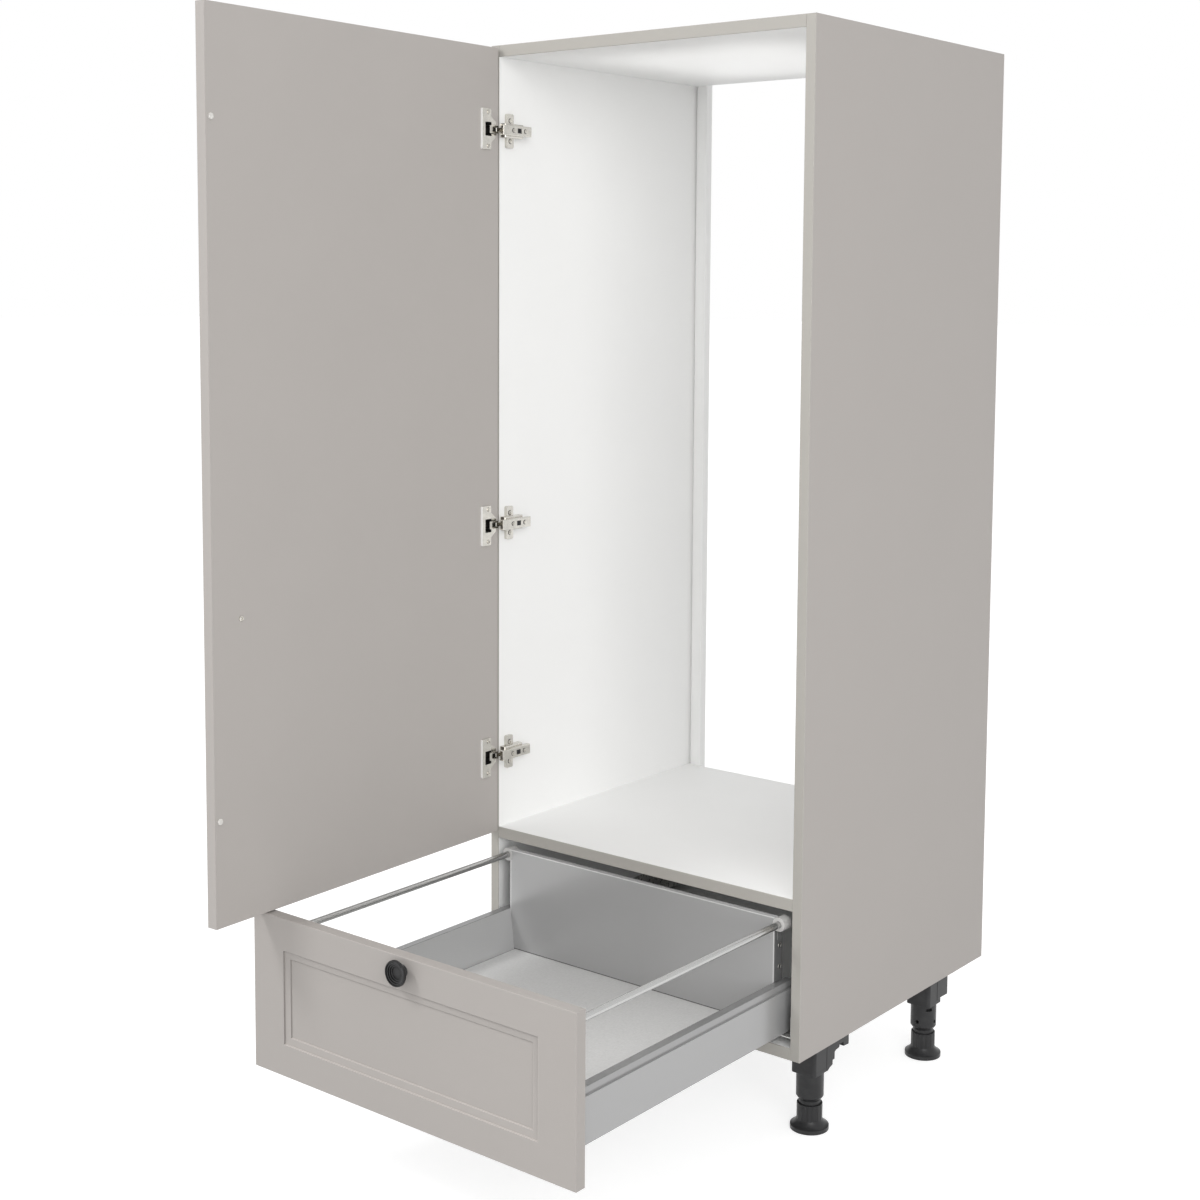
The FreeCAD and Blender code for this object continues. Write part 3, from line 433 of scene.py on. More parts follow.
def backPaintedLight(tree, coords):
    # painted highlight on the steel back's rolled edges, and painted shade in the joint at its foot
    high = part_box("drawer_back")[1]
    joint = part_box("drawer_base")[1].z + backFold["joint"]
    axes = splitAxes(tree, coords)
    away = calc(tree, "ABSOLUTE", axes["X"])
    upper = calc(tree, "GREATER_THAN", axes["Z"], high.z - backFold["edge"])
    end = calc(tree, "GREATER_THAN", away, high.x - backFold["edge"])
    foot = calc(tree, "LESS_THAN", axes["Z"], joint)
    tone = between(tree, calc(tree, "MAXIMUM", upper, end), 1.0, backFold["edgePaintedHighlight"])
    return calc(tree, "MULTIPLY", tone, between(tree, foot, 1.0, backFold["jointPaintedShade"]))


zincFinish = {
    "colour": linear(200, 200, 198),
    "stretch": (1200.0, 20.0, 1200.0),
    "flakes": 260.0,
    "tone": (0.88, 1.06),
    "metallic": 0.5,
    "roughness": (0.24, 0.38),
    "depth": 0.02 * mm,
    "strength": 0.3,
}


def makeZincSteel():
    # galvanised sheet with a faint spangle
    facts = zincFinish
    material, tree, shader, coords = newFinish("zincSteel")
    lines = placeGroup(tree, drawnSheet, coords, {"Stretch": facts["stretch"]})
    flakes = addNode(tree, "ShaderNodeTexVoronoi", {"Vector": coords, "Scale": facts["flakes"]})
    flake = addNode(tree, "ShaderNodeSeparateColor", {"Color": flakes.outputs["Color"]}).outputs
    feedAll(tree, shader, {
        "Base Color": tinted(tree, facts["colour"], between(tree, flake["Red"], *facts["tone"])),
        "Metallic": facts["metallic"],
        "Roughness": between(tree, flake["Green"], *facts["roughness"])})
    bumpFrom(tree, shader, lines["Streak"], facts["depth"], facts["strength"])
    return material


nickelFinish = {
    "colour": linear(212, 209, 202),
    "stretch": (900.0, 60.0, 900.0),
    "clouds": 120.0,
    "cloudTone": (0.9, 1.04),
    "roughness": (0.16, 0.27),
    "depth": 0.1 * mm,
    "strength": 0.3,
    # painted highlight on a cup's rim and painted shade inside it
    "cupRimPaintedHighlight": linear(250, 250, 248),
    "rimHighlightWidth": 1.1 * mm,
    "cupInsidePaintedShade": linear(34, 32, 30),
    "insideWear": 0.35,            # what the inside of a cup adds to the roughness
    "dullMetallic": 0.1,           # of a cup's rim and inside, where highlight and shade are painted
}


def makeNickelPlate(name, cupLevel=None):
    # bright nickel over stamped steel, a little clouded
    facts = nickelFinish
    material, tree, shader, coords = newFinish(name)
    values = {"Stretch": facts["stretch"], "Patch Scale": facts["clouds"]}
    lines = placeGroup(tree, drawnSheet, coords, values)
    colour = tinted(tree, facts["colour"], overNoise(tree, lines["Patch"], *facts["cloudTone"]))
    rough = overNoise(tree, lines["Streak"], *facts["roughness"])
    metallic = 1.0
    if cupLevel is not None:
        # painted shade darkens a cup below the door's face, and a painted highlight makes its rim pale
        inside = calc(tree, "LESS_THAN", alongDirection(tree, coords, doorNormal), cupLevel)
        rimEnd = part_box("upper_hinge_cup")[0].y + facts["rimHighlightWidth"]
        rim = calc(tree, "LESS_THAN", splitAxes(tree, coords)["Y"], rimEnd)
        colour = blendColour(tree, inside, colour, facts["cupInsidePaintedShade"])
        colour = blendColour(tree, rim, colour, facts["cupRimPaintedHighlight"])
        rough = calc(tree, "MULTIPLY_ADD", inside, facts["insideWear"], rough)
        metallic = between(tree, calc(tree, "MAXIMUM", inside, rim), 1.0, facts["dullMetallic"])
    feedAll(tree, shader, {"Base Color": colour, "Metallic": metallic, "Roughness": rough})
    bumpFrom(tree, shader, lines["Patch"], facts["depth"], facts["strength"])
    return material


greyTones = {"base": linear(194, 193, 191), "rubbed": linear(206, 205, 203)}
blackTones = {"base": linear(41, 41, 42), "rubbed": linear(56, 56, 57)}
knobTones = {"base": linear(34, 34, 35), "rubbed": linear(44, 44, 45)}
plastics = {
    "blackPlastic": dict(blackTones, roughness=(0.32, 0.48), depth=0.05 * mm, sheen=0.35),
    "greyPlastic": dict(greyTones, roughness=(0.4, 0.5), depth=0.04 * mm, sheen=0.35),
    "socketPlastic": dict(greyTones, roughness=(0.4, 0.5), depth=0.04 * mm, sheen=0.5),
    "knobPaint": dict(knobTones, roughness=(0.38, 0.46), depth=0.02 * mm, sheen=0.35),
}
pitStrength = 0.6
socketLugPaintedShade = {
    "drop": 4.5 * mm,              # its top, below the rails
    # colour of the painted shade
    "colour": linear(104, 104, 104),
}


def makeMoulded(name, shade=None):
    # moulded plastic or thick paint; shade changes its colour in places
    facts = plastics[name]
    material, tree, shader, coords = newFinish(name)
    skin = placeGroup(tree, mouldedSkin, coords)
    colour = blendColour(tree, skin["Rub"], facts["base"], facts["rubbed"])
    if shade:
        colour = shade(tree, coords, colour)
    feedAll(tree, shader, {
        "Base Color": colour,
        "Roughness": between(tree, skin["Rub"], *facts["roughness"]),
        "Specular IOR Level": facts["sheen"]})
    bumpFrom(tree, shader, skin["Pit"], facts["depth"], pitStrength)
    return material


def knobStepPaintedLight(tree, coords, colour):
    # painted shade darkens a knob in its turned steps and painted highlight lightens its terraces, by a tone
    # that the mesh carries
    tone = addNode(tree, "ShaderNodeAttribute", attribute_name="tone").outputs["Fac"]
    return tinted(tree, colour, tone)


def lugPaintedShade(tree, coords, colour):
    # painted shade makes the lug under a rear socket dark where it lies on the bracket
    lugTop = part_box("gallery_rails")[0].z - socketLugPaintedShade["drop"]
    lug = calc(tree, "LESS_THAN", splitAxes(tree, coords)["Z"], lugTop)
    return blendColour(tree, lug, colour, socketLugPaintedShade["colour"])


padFinish = {
    "dark": linear(206, 203, 198),
    "pale": linear(226, 224, 220),
    "clouds": 300.0,
    "roughness": (0.2, 0.3),
    "milk": 0.4,
    "reach": (3 * mm, 3 * mm, 3 * mm),
}


def makeSoftPad():
    # clear elastic pad, milky in the middle
    facts = padFinish
    material, tree, shader, coords = newFinish("softPad")
    cloud = noise(tree, coords, facts["clouds"], detail=3.0)
    feedAll(tree, shader, {
        "Base Color": blendColour(tree, overNoise(tree, cloud), facts["dark"], facts["pale"]),
        "Roughness": overNoise(tree, cloud, *facts["roughness"]),
        "Subsurface Weight": facts["milk"],
        "Subsurface Radius": facts["reach"],
        "Subsurface Scale": 1.0})
    return material


beechFinish = {
    "dark": linear(198, 164, 120),
    "pale": linear(222, 192, 150),
    "stretch": (60.0, 900.0, 900.0),
    "roughness": (0.55, 0.7),
    "depth": 0.05 * mm,
    "strength": 0.5,
}


def makeBeech():
    facts = beechFinish
    material, tree, shader, coords = newFinish("beechDowel")
    streak = placeGroup(tree, drawnSheet, coords, {"Stretch": facts["stretch"]})["Streak"]
    feedAll(tree, shader, {
        "Base Color": blendColour(tree, overNoise(tree, streak), facts["dark"], facts["pale"]),
        "Roughness": overNoise(tree, streak, *facts["roughness"])})
    bumpFrom(tree, shader, streak, facts["depth"], facts["strength"])
    return material


finishes = {
    "carcass_board": makeCarcassLaminate(),
    "front_board": makeGreigeFoil("drawer_front", 0.0, boardFinish["front"]),
    "white_board": makeWhiteLaminate(),
    "grey_board": makeLinenBoard(),
    "dowel_wood": makeBeech(),
    "black_plastic": makeMoulded("blackPlastic"),
    "black_metal": makeMoulded("knobPaint", knobStepPaintedLight),
    "clear_rubber": makeSoftPad(),
    "grey_plastic": makeMoulded("greyPlastic"),
    "grey_steel": makeSatinSteel("bracketShadedSteel"),
    "zinc_steel": makeZincSteel(),
    "nickel": makeNickelPlate("nickelPlate"),
}
sideSteel = makeSatinSteel("sideSteel", sidePaintedLight)
backSteel = makeSatinSteel("backSteel", backPaintedLight)
cupNickel = makeNickelPlate("cupNickel", doorFace)
ownFinish = {
    "door_panel": makeGreigeFoil("door_panel", -openAngle, boardFinish["greige"]),
    "bracket_rivets": backSteel,
    "drawer_back": backSteel,
    "gallery_rails": makeSatinSteel("rodSteel"),
    "gallery_sockets": makeMoulded("socketPlastic", lugPaintedShade),
    "left_drawer_side": sideSteel,
    "right_drawer_side": sideSteel,
}
for level in hingeLevels:
    ownFinish[level + "_hinge_cup"] = cupNickel


def finishOf(nodeName):
    return ownFinish.get(nodeName, finishes[slotOf[nodeName]])


print("finishes made:", len(bpy.data.materials))


# pieces that follow the solids, welded, with their edges softened

softEdge = {
    "weld": 0.002 * mm,
    "flat": math.radians(0.5),
    "corner": math.radians(30.0),
    "segments": 2,
    "flatness": 100,               # how strongly large faces keep their shading flat
    "leastVolume": 0.9,
}
edgeWidth = {
    "carcass_board": 0.5 * mm,
    "front_board": 0.25 * mm,
    "white_board": 0.4 * mm,
    "grey_board": 0.3 * mm,
    "dowel_wood": 0.4 * mm,
    "black_plastic": 0.6 * mm,
    "clear_rubber": 0.15 * mm,
    "grey_plastic": 0.6 * mm,
    "grey_steel": 0.4 * mm,
    "zinc_steel": 0.4 * mm,
    "nickel": 0.3 * mm,
}


def shapedMesh(obj):
    # the mesh that an object's modifiers give, in place of its own
    graph = bpy.context.evaluated_depsgraph_get()
    mesh = bpy.data.meshes.new_from_object(obj.evaluated_get(graph), depsgraph=graph)
    obj.modifiers.clear()
    obj.data = mesh
    return mesh


def weldedCopy(nodeName):
    work = bmesh.new()
    work.from_mesh(cadNodes[nodeName].data)
    bmesh.ops.remove_doubles(work, verts=work.verts, dist=softEdge["weld"])
    return work


def isClosed(mesh, leastVolume):
    work = bmesh.new()
    work.from_mesh(mesh)
    sound = all(edge.is_manifold for edge in work.edges) and work.calc_volume(signed=True) > leastVolume
    work.free()
    return sound


def dress(piece, nodeName):
    piece.data.materials.clear()
    piece.data.materials.append(finishOf(nodeName))
    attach(piece, cadNodes[nodeName]["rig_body"])
    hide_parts(nodeName)


def addDetail(piece, body, slot):
    # a piece that no solid has
    piece.data.materials.append(finishes[slot])
    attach(piece, body)


def addObject(name, data):
    obj = bpy.data.objects.new(name, data)
    scene.collection.objects.link(obj)
    return obj


def pieceFrom(work, name):
    # a smooth piece from a bmesh, its faces turned outward
    bmesh.ops.recalc_face_normals(work, faces=work.faces)
    for face in work.faces:
        face.smooth = True
    mesh = bpy.data.meshes.new(name)
    work.to_mesh(mesh)
    work.free()
    return addObject(name, mesh)


def softMesh(work, name, width):
    # a piece from a bmesh, its edges softened by that width
    piece = pieceFrom(work, name)
    bevel = piece.modifiers.new("edges", "BEVEL")
    bevel.width = width
    bevel.segments = softEdge["segments"]
    bevel.limit_method = "ANGLE"
    bevel.angle_limit = softEdge["corner"]
    piece.modifiers.new("flat faces", "WEIGHTED_NORMAL").weight = softEdge["flatness"]
    shapedMesh(piece)
    return piece


def keepInside(mesh, low, high):
    places = np.empty(len(mesh.vertices) * 3, np.float32)
    mesh.vertices.foreach_get("co", places)
    held = np.clip(places.reshape(-1, 3), np.array(low, np.float32), np.array(high, np.float32))
    mesh.vertices.foreach_set("co", held.ravel())
    mesh.update()


def softenPiece(nodeName):
    work = weldedCopy(nodeName)
    if nodeName in rearLegs:
        trimFin(work, nodeName)
    volume = work.calc_volume(signed=True)
    bmesh.ops.dissolve_limit(work, angle_limit=softEdge["flat"], verts=work.verts, edges=work.edges)
    piece = softMesh(work, nodeName + "_soft", edgeWidth[slotOf[nodeName]])
    keepInside(piece.data, *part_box(nodeName))
    if isClosed(piece.data, softEdge["leastVolume"] * volume):
        dress(piece, nodeName)
        return
    print("kept as the solid:", nodeName)
    bpy.data.objects.remove(piece)
    cadNodes[nodeName].data.materials.clear()
    cadNodes[nodeName].data.materials.append(finishOf(nodeName))


# leg heads: the moulded wings that clip under the cabinet's floor

legWing = {
    "inner": 14.8 * mm,            # across, from the leg's axis
    "outer": 22.0 * mm,
    "skirtHalf": 21.6 * mm,
    "skirtCorner": 5.5 * mm,
    "skirtLow": 88.8 * mm,
    "skirtHigh": 95.6 * mm,
    "top": 144.5 * mm,
    "width": 0.6 * mm,
    "finEnd": 40.1 * mm,           # behind the axis, where a rear leg's fin is cut
    # from the axis and the floor, in mm
    "front": [(12.0, 89.0), (16.0, 89.0), (20.5, 92.0), (29.0, 94.5), (29.0, 101.4), (34.6, 101.4),
              (34.6, 112.4), (38.0, 114.2), (47.5, 115.4), (49.3, 120.5), (59.0, 119.8), (60.2, 113.2),
              (75.0, 112.2)],
    "rear": [(6.0, 94.0), (9.0, 97.0), (40.4, 96.4)],
}
frontLegs = ("front_left_leg", "front_right_leg")
rearLegs = ("rear_left_leg", "rear_right_leg")


def legAxis(nodeName):
    low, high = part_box(nodeName.replace("_leg", "_foot"))
    return (low + high) / 2


def trimFin(work, nodeName):
    # the rear legs' wing ends with the plate
    cut = Vector((0.0, legAxis(nodeName).y + legWing["finEnd"], 0.0))
    everything = list(work.verts) + list(work.edges) + list(work.faces)
    bmesh.ops.bisect_plane(work, geom=everything, plane_co=cut, plane_no=(0.0, 1.0, 0.0), clear_outer=True)
    bmesh.ops.holes_fill(work, edges=[edge for edge in work.edges if edge.is_boundary])


def addPrism(work, outline, push):
    # closed prism from a ring of points, pushed along a vector
    near = [work.verts.new(point) for point in outline]
    far = [work.verts.new(Vector(point) + push) for point in outline]
    work.faces.new(near)
    work.faces.new(far[::-1])
    for i in range(len(near)):
        j = (i + 1) % len(near)
        work.faces.new((near[j], near[i], far[i], far[j]))


def roundedSquare(half, corner, steps=5):
    points = []
    for quarter, (sx, sy) in enumerate(((1, 1), (-1, 1), (-1, -1), (1, -1))):
        for step in range(steps + 1):
            angle = (quarter + step / steps) * math.pi / 2
            points.append((sx * (half - corner) + corner * math.cos(angle),
                           sy * (half - corner) + corner * math.sin(angle)))
    return points


def makeLegWings():
    work = bmesh.new()
    for nodeName in frontLegs + rearLegs:
        axis = legAxis(nodeName)
        side = math.copysign(1.0, axis.x)
        profile = [(y * mm, z * mm) for y, z in legWing[nodeName.split("_")[0]]]
        profile += [(profile[-1][0], legWing["top"]), (profile[0][0], legWing["top"])]
        outline = [(axis.x + side * legWing["inner"], axis.y + y, z) for y, z in profile]
        addPrism(work, outline, Vector((side * (legWing["outer"] - legWing["inner"]), 0.0, 0.0)))
        ring = roundedSquare(legWing["skirtHalf"], legWing["skirtCorner"])
        outline = [(axis.x + x, axis.y + y, legWing["skirtLow"]) for x, y in ring]
        addPrism(work, outline, Vector((0.0, 0.0, legWing["skirtHigh"] - legWing["skirtLow"])))
    addDetail(softMesh(work, "leg_wings", legWing["width"]), "carcass", "black_plastic")


# black pads in the slots of the hinge arms, put there as painted shade of the slots' depth

slotShadePad = {
    "fromFront": 38.0 * mm,        # middle of the slot from the arm's front
    "padHalf": (5.6 * mm, 4.6 * mm),
    "padLow": 1.97 * mm,           # below the arm's top
    "padHigh": 1.58 * mm,
    "keyHalf": (4.6 * mm, 3.65 * mm),
    "keyHigh": 0.7 * mm,
    "rib": 0.9 * mm,
    "width": 0.12 * mm,
}


def makeSlotShadePads():
    work = bmesh.new()
    for level in hingeLevels:
        low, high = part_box(level + "_hinge_arm")
        y = low.y + slotShadePad["fromFront"]
        z = (low.z + high.z) / 2
        layers = [(slotShadePad["padHalf"], 0.0, slotShadePad["padLow"], slotShadePad["padHigh"])]
        keyY, keyZ = slotShadePad["keyHalf"]
        half = (keyY / 2 - slotShadePad["rib"] / 2, keyZ)
        for shift in (-1, 1):
            move = shift * (keyY / 2 + slotShadePad["rib"] / 2)
            layers.append((half, move, slotShadePad["padHigh"], slotShadePad["keyHigh"]))
        for (halfY, halfZ), shift, bottom, top in layers:
            outline = [(high.x - bottom, y + shift + sy * halfY, z + sz * halfZ)
                       for sy, sz in ((-1, -1), (1, -1), (1, 1), (-1, 1))]
            addPrism(work, outline, Vector((bottom - top, 0.0, 0.0)))
    addDetail(softMesh(work, "hinge_slot_shade_pads", slotShadePad["width"]), "carcass", "black_plastic")


# screws and rivets in mm, one node tree that sets a fastener on every seat

fastenerSizes = {
    "carcass_screws": {"head": 1.6, "recess": True},
    "hinge_arm_screws": {"head": 1.4, "recess": True},
    "hinge_cup_screws": {"head": 1.6, "recess": True},
    "front_fixing_screws": {"head": 1.6, "recess": True},
    "door_knob_screw": {"head": 2.0, "recess": True},
    "drawer_knob_screw": {"head": 2.0, "recess": True},
    "bracket_rivets": {"head": 1.6, "recess": False},
}
fastenerShape = {
    "crown": 0.6,
    "sides": 40,
    "rings": 6,
    "topFrom": 0.49,               # share of the disc's depth, from its middle, where its top starts
    "letIn": 0.5,                  # share of the rim that the shank reaches into
    "recessReach": 0.66,           # of the head's diameter
    "recessWidth": 1.0,
    "recessDepth": 0.9,
    "seed": 11,
    "crease": math.radians(35.0),
    "headFrom": 0.95,              # share of the widest radius that is still the head
    "tailTo": 0.1,                 # share of the length that is the shank's end
}


def geo(tree, kind, values=None, **settings):
    return addNode(tree, kind, values, **settings).outputs[0]


def upBy(tree, height):
    return geo(tree, "ShaderNodeCombineXYZ", {"Z": height})


def lifted(tree, solid, height):
    return geo(tree, "GeometryNodeTransform", {"Geometry": solid, "Translation": upBy(tree, height)})


def above(tree, value, limit):
    values = {"A": value, "B": limit}
    return geo(tree, "FunctionNodeCompare", values, data_type="FLOAT", operation="GREATER_THAN")


def makeFastenerTree():
    tree = bpy.data.node_groups.new("fastenerOnSeats", "GeometryNodeTree")
    sockets = {"Seats": "Geometry", "Head Radius": "Float", "Head Height": "Float", "Shank Radius": "Float",
               "Shank Length": "Float", "Recess": "Bool", "Finish": "Material"}
    for label, kind in sockets.items():
        tree.interface.new_socket(label, in_out="INPUT", socket_type="NodeSocket" + kind)
    tree.interface.new_socket("Fasteners", in_out="OUTPUT", socket_type="NodeSocketGeometry")
    into = tree.nodes.new("NodeGroupInput").outputs
    shape = fastenerShape

    # head: a disc whose top is crowned
    rim = calc(tree, "SUBTRACT", into["Head Height"], shape["crown"])
    disc = geo(tree, "GeometryNodeMeshCylinder",
               {"Vertices": shape["sides"], "Side Segments": 2, "Fill Segments": shape["rings"],
                "Radius": into["Head Radius"], "Depth": rim}, fill_type="TRIANGLE_FAN")
    axes = splitAxes(tree, geo(tree, "GeometryNodeInputPosition"))
    flat = geo(tree, "ShaderNodeCombineXYZ", {"X": axes["X"], "Y": axes["Y"]})
    radius = addNode(tree, "ShaderNodeVectorMath", {0: flat}, operation="LENGTH").outputs["Value"]
    share = calc(tree, "DIVIDE", radius, into["Head Radius"])
    dome = calc(tree, "SUBTRACT", 1.0, calc(tree, "MULTIPLY", share, share))
    lift = upBy(tree, calc(tree, "MULTIPLY", dome, shape["crown"]))
    upper = above(tree, axes["Z"], calc(tree, "MULTIPLY", rim, shape["topFrom"]))
    crowned = geo(tree, "GeometryNodeSetPosition", {"Geometry": disc, "Selection": upper, "Offset": lift})
    head = lifted(tree, crowned, calc(tree, "DIVIDE", rim, 2.0))

    # shank, let a little way into the head
    overlap = calc(tree, "MULTIPLY", rim, shape["letIn"])
    length = calc(tree, "ADD", into["Shank Length"], overlap)
    shank = geo(tree, "GeometryNodeMeshCylinder",
                {"Vertices": shape["sides"], "Radius": into["Shank Radius"], "Depth": length})
    shank = lifted(tree, shank, calc(tree, "SUBTRACT", overlap, calc(tree, "DIVIDE", length, 2.0)))
    union = addNode(tree, "GeometryNodeMeshBoolean", operation="UNION", solver="EXACT")
    for solid in (head, shank):
        tree.links.new(solid, union.inputs["Mesh 2"])
    whole = union.outputs["Mesh"]

    # cross recess
    reach = calc(tree, "MULTIPLY", into["Head Radius"], 2.0 * shape["recessReach"])
    width = shape["recessWidth"]
    cut = addNode(tree, "GeometryNodeMeshBoolean", operation="DIFFERENCE", solver="EXACT")
    tree.links.new(whole, cut.inputs["Mesh 1"])
    for spanX, spanY in ((reach, width), (width, reach)):
        size = geo(tree, "ShaderNodeCombineXYZ", {"X": spanX, "Y": spanY, "Z": 2.0 * shape["recessDepth"]})
        bar = geo(tree, "GeometryNodeMeshCube", {"Size": size})
        tree.links.new(lifted(tree, bar, into["Head Height"]), cut.inputs["Mesh 2"])
    values = {"Switch": into["Recess"], "False": whole, "True": cut.outputs["Mesh"]}
    chosen = geo(tree, "GeometryNodeSwitch", values, input_type="GEOMETRY")

    # one on every seat, along its aim, turned by chance
    aim = addNode(tree, "GeometryNodeInputNamedAttribute", {"Name": "aim"}, data_type="FLOAT_VECTOR")
    upright = geo(tree, "FunctionNodeAlignRotationToVector", {"Vector": aim.outputs["Attribute"]}, axis="Z")
    values = {2: 0.0, 3: 2.0 * math.pi, "Seed": shape["seed"]}
    chance = addNode(tree, "FunctionNodeRandomValue", values, data_type="FLOAT").outputs[1]
    roll = geo(tree, "FunctionNodeAxisAngleToRotation", {"Axis": (0.0, 0.0, 1.0), "Angle": chance})
    values = {"Rotation": upright, "Rotate By": roll}
    turned = geo(tree, "FunctionNodeRotateRotation", values, rotation_space="LOCAL")
    placed = geo(tree, "GeometryNodeInstanceOnPoints",
                 {"Points": into["Seats"], "Instance": chosen, "Rotation": turned, "Scale": (mm, mm, mm)})
    real = geo(tree, "GeometryNodeRealizeInstances", {"Geometry": placed})
    smooth = geo(tree, "GeometryNodeSetShadeSmooth", {0: real})
    bend = addNode(tree, "GeometryNodeInputMeshEdgeAngle").outputs["Unsigned Angle"]
    sharp = above(tree, bend, shape["crease"])
    creased = geo(tree, "GeometryNodeSetShadeSmooth", {0: smooth, 1: sharp, 2: False}, domain="EDGE")
    painted = geo(tree, "GeometryNodeSetMaterial", {"Geometry": creased, "Material": into["Finish"]})
    feed(tree, tree.nodes.new("NodeGroupOutput").inputs["Fasteners"], painted)
    return tree


def islands(nodeName):
    # corner points of each separate solid in a node
    work = weldedCopy(nodeName)
    work.verts.index_update()
    seen = [False] * len(work.verts)
    found = []
    for first in work.verts:
        if seen[first.index]:
            continue
        seen[first.index] = True
        stack = [first]
        points = []
        while stack:
            vert = stack.pop()
            points.append(tuple(vert.co))
            for edge in vert.link_edges:
                other = edge.other_vert(vert)
                if not seen[other.index]:
                    seen[other.index] = True
                    stack.append(other)
        found.append(np.array(points))
    work.free()
    return found


def measureFastener(points):
    # axis towards the head, its two ends along that axis, and the two radii
    middle = (points.min(0) + points.max(0)) / 2
    best = None
    for axis in np.linalg.svd(points - points.mean(0))[2]:
        along = (points - middle) @ axis
        spoke = (points - middle) - np.outer(along, axis)
        spoke = spoke - (spoke.min(0) + spoke.max(0)) / 2
        radii = np.linalg.norm(spoke, axis=1)
        if best is None or radii.max() < best[2].max():
            best = (axis, along, radii)
    axis, along, radii = best
    wide = radii > fastenerShape["headFrom"] * radii.max()
    if along[wide].mean() < (along.min() + along.max()) / 2:
        axis, along = -axis, -along
    tail = radii[along < along.min() + fastenerShape["tailTo"] * np.ptp(along)].max()
    centre = middle + axis * along.max()
    return axis, centre, np.ptp(along), radii.max(), tail


def placeFasteners(tree, nodeName):
    sizes = fastenerSizes[nodeName]
    seats, aims = [], []
    for points in islands(nodeName):
        axis, tip, span, headRadius, shankRadius = measureFastener(points)
        seats.append(tip - axis * sizes["head"] * mm)
        aims.append(axis)
    mesh = bpy.data.meshes.new(nodeName + "_set")
    mesh.from_pydata([tuple(seat) for seat in seats], [], [])
    mesh.attributes.new("aim", "FLOAT_VECTOR", "POINT").data.foreach_set("vector", np.array(aims).ravel())
    piece = addObject(nodeName + "_set", mesh)
    modifier = piece.modifiers.new("fasteners", "NODES")
    modifier.node_group = tree
    values = {"Head Radius": headRadius / mm, "Head Height": sizes["head"],
              "Shank Radius": shankRadius / mm, "Shank Length": span / mm - sizes["head"],
              "Recess": sizes["recess"], "Finish": finishOf(nodeName)}
    for socket in tree.interface.items_tree:
        if socket.name in values:
            modifier[socket.identifier] = values[socket.name]
    shapedMesh(piece)
    dress(piece, nodeName)


# turned knobs, with rings round a dished middle

knobShape = {
    "sides": 72,
    "crease": math.radians(38.0),
    # a third number is a painted tone: below 1 painted shade in the steps, above 1 painted highlight on the
    # terraces and dish
    "profile": [(0.0, 0.0), (8.5, 0.0), (7.0, 1.5), (7.0, 6.0, 0.8), (8.6, 7.6, 0.8), (13.0, 9.6, 0.8),
                (17.2, 11.2, 0.8), (18.0, 12.4, 0.9), (18.0, 14.8, 0.9), (17.6, 16.2), (16.9, 16.9),
                (16.2, 16.95), (15.8, 16.6, 0.3), (15.6, 15.3, 0.05), (15.3, 15.2, 0.05), (14.9, 15.35, 1.6),
                (14.0, 15.4, 1.6), (13.4, 15.1, 0.3), (13.2, 13.7, 0.05), (12.9, 13.6, 0.05),
                (12.5, 13.7, 1.6), (11.6, 13.75, 1.6), (11.1, 13.4, 0.3), (10.9, 12.0, 0.05),
                (10.5, 11.9, 0.05), (10.1, 12.0, 1.4), (9.4, 12.0, 1.4), (8.8, 11.7, 0.3), (8.3, 10.6, 0.1),
                (6.8, 10.0, 0.6), (4.6, 9.7, 1.0), (2.4, 9.6, 1.2), (0.0, 9.6, 1.2)],
}


def addTurned(work, profile, sides, base, axis):
    # rings of a profile of radii and heights in mm, some with a painted tone, below 1 for shade and above 1
    # for highlight, turned about an axis
    turn = Vector(axis).to_track_quat("Z", "Y").to_matrix()
    layers = work.verts.layers.float
    layer = layers.get("tone") or layers.new("tone")
    rings = []
    for radius, rise, *tone in profile:
        count = sides if radius else 1
        ring = []
        for i in range(count):
            angle = 2 * math.pi * i / sides
            local = Vector((radius * math.cos(angle), radius * math.sin(angle), rise)) * mm
            vert = work.verts.new(Vector(base) + turn @ local)
            vert[layer] = tone[0] if tone else 1.0
            ring.append(vert)
        rings.append(ring)
    for lower, upper in zip(rings, rings[1:]):
        for i in range(sides):
            j = (i + 1) % sides
            corners = [lower[i % len(lower)], lower[j % len(lower)],
                       upper[j % len(upper)], upper[i % len(upper)]]
            work.faces.new(list(dict.fromkeys(corners)))


def turnedPiece(work, name, crease):
    bmesh.ops.remove_doubles(work, verts=work.verts, dist=softEdge["weld"])
    bmesh.ops.recalc_face_normals(work, faces=work.faces)
    for edge in work.edges:
        edge.smooth = edge.calc_face_angle() < crease
    return pieceFrom(work, name)


def makeKnob(nodeName):
    axis, tip, span = measureFastener(islands(nodeName)[0])[:3]
    work = bmesh.new()
    addTurned(work, knobShape["profile"], knobShape["sides"], tip - axis * span, axis)
    dress(turnedPiece(work, nodeName + "_turned", knobShape["crease"]), nodeName)


# eyelets round the holes of the back brackets, and black plugs in them as painted shade of the holes

eyelet = {
    "sides": 32,
    "crease": math.radians(60.0),
    "setback": 12.5 * mm,          # behind the face of the drawer's back
    "level": 130.0 * mm,           # above the bay's floor
    "spacing": 32.0 * mm,
    "sheet": 1.5 * mm,
    "rim": [(3.05, 0.0), (3.05, 0.25), (3.25, 0.5), (3.6, 0.5), (3.85, 0.3), (3.9, 0.0), (3.05, 0.0)],
    # a black plug as painted shade inside each hole
    "shadePlug": [(0.0, -1.4), (2.97, -1.4), (2.97, -0.5), (0.0, -0.5)],
}


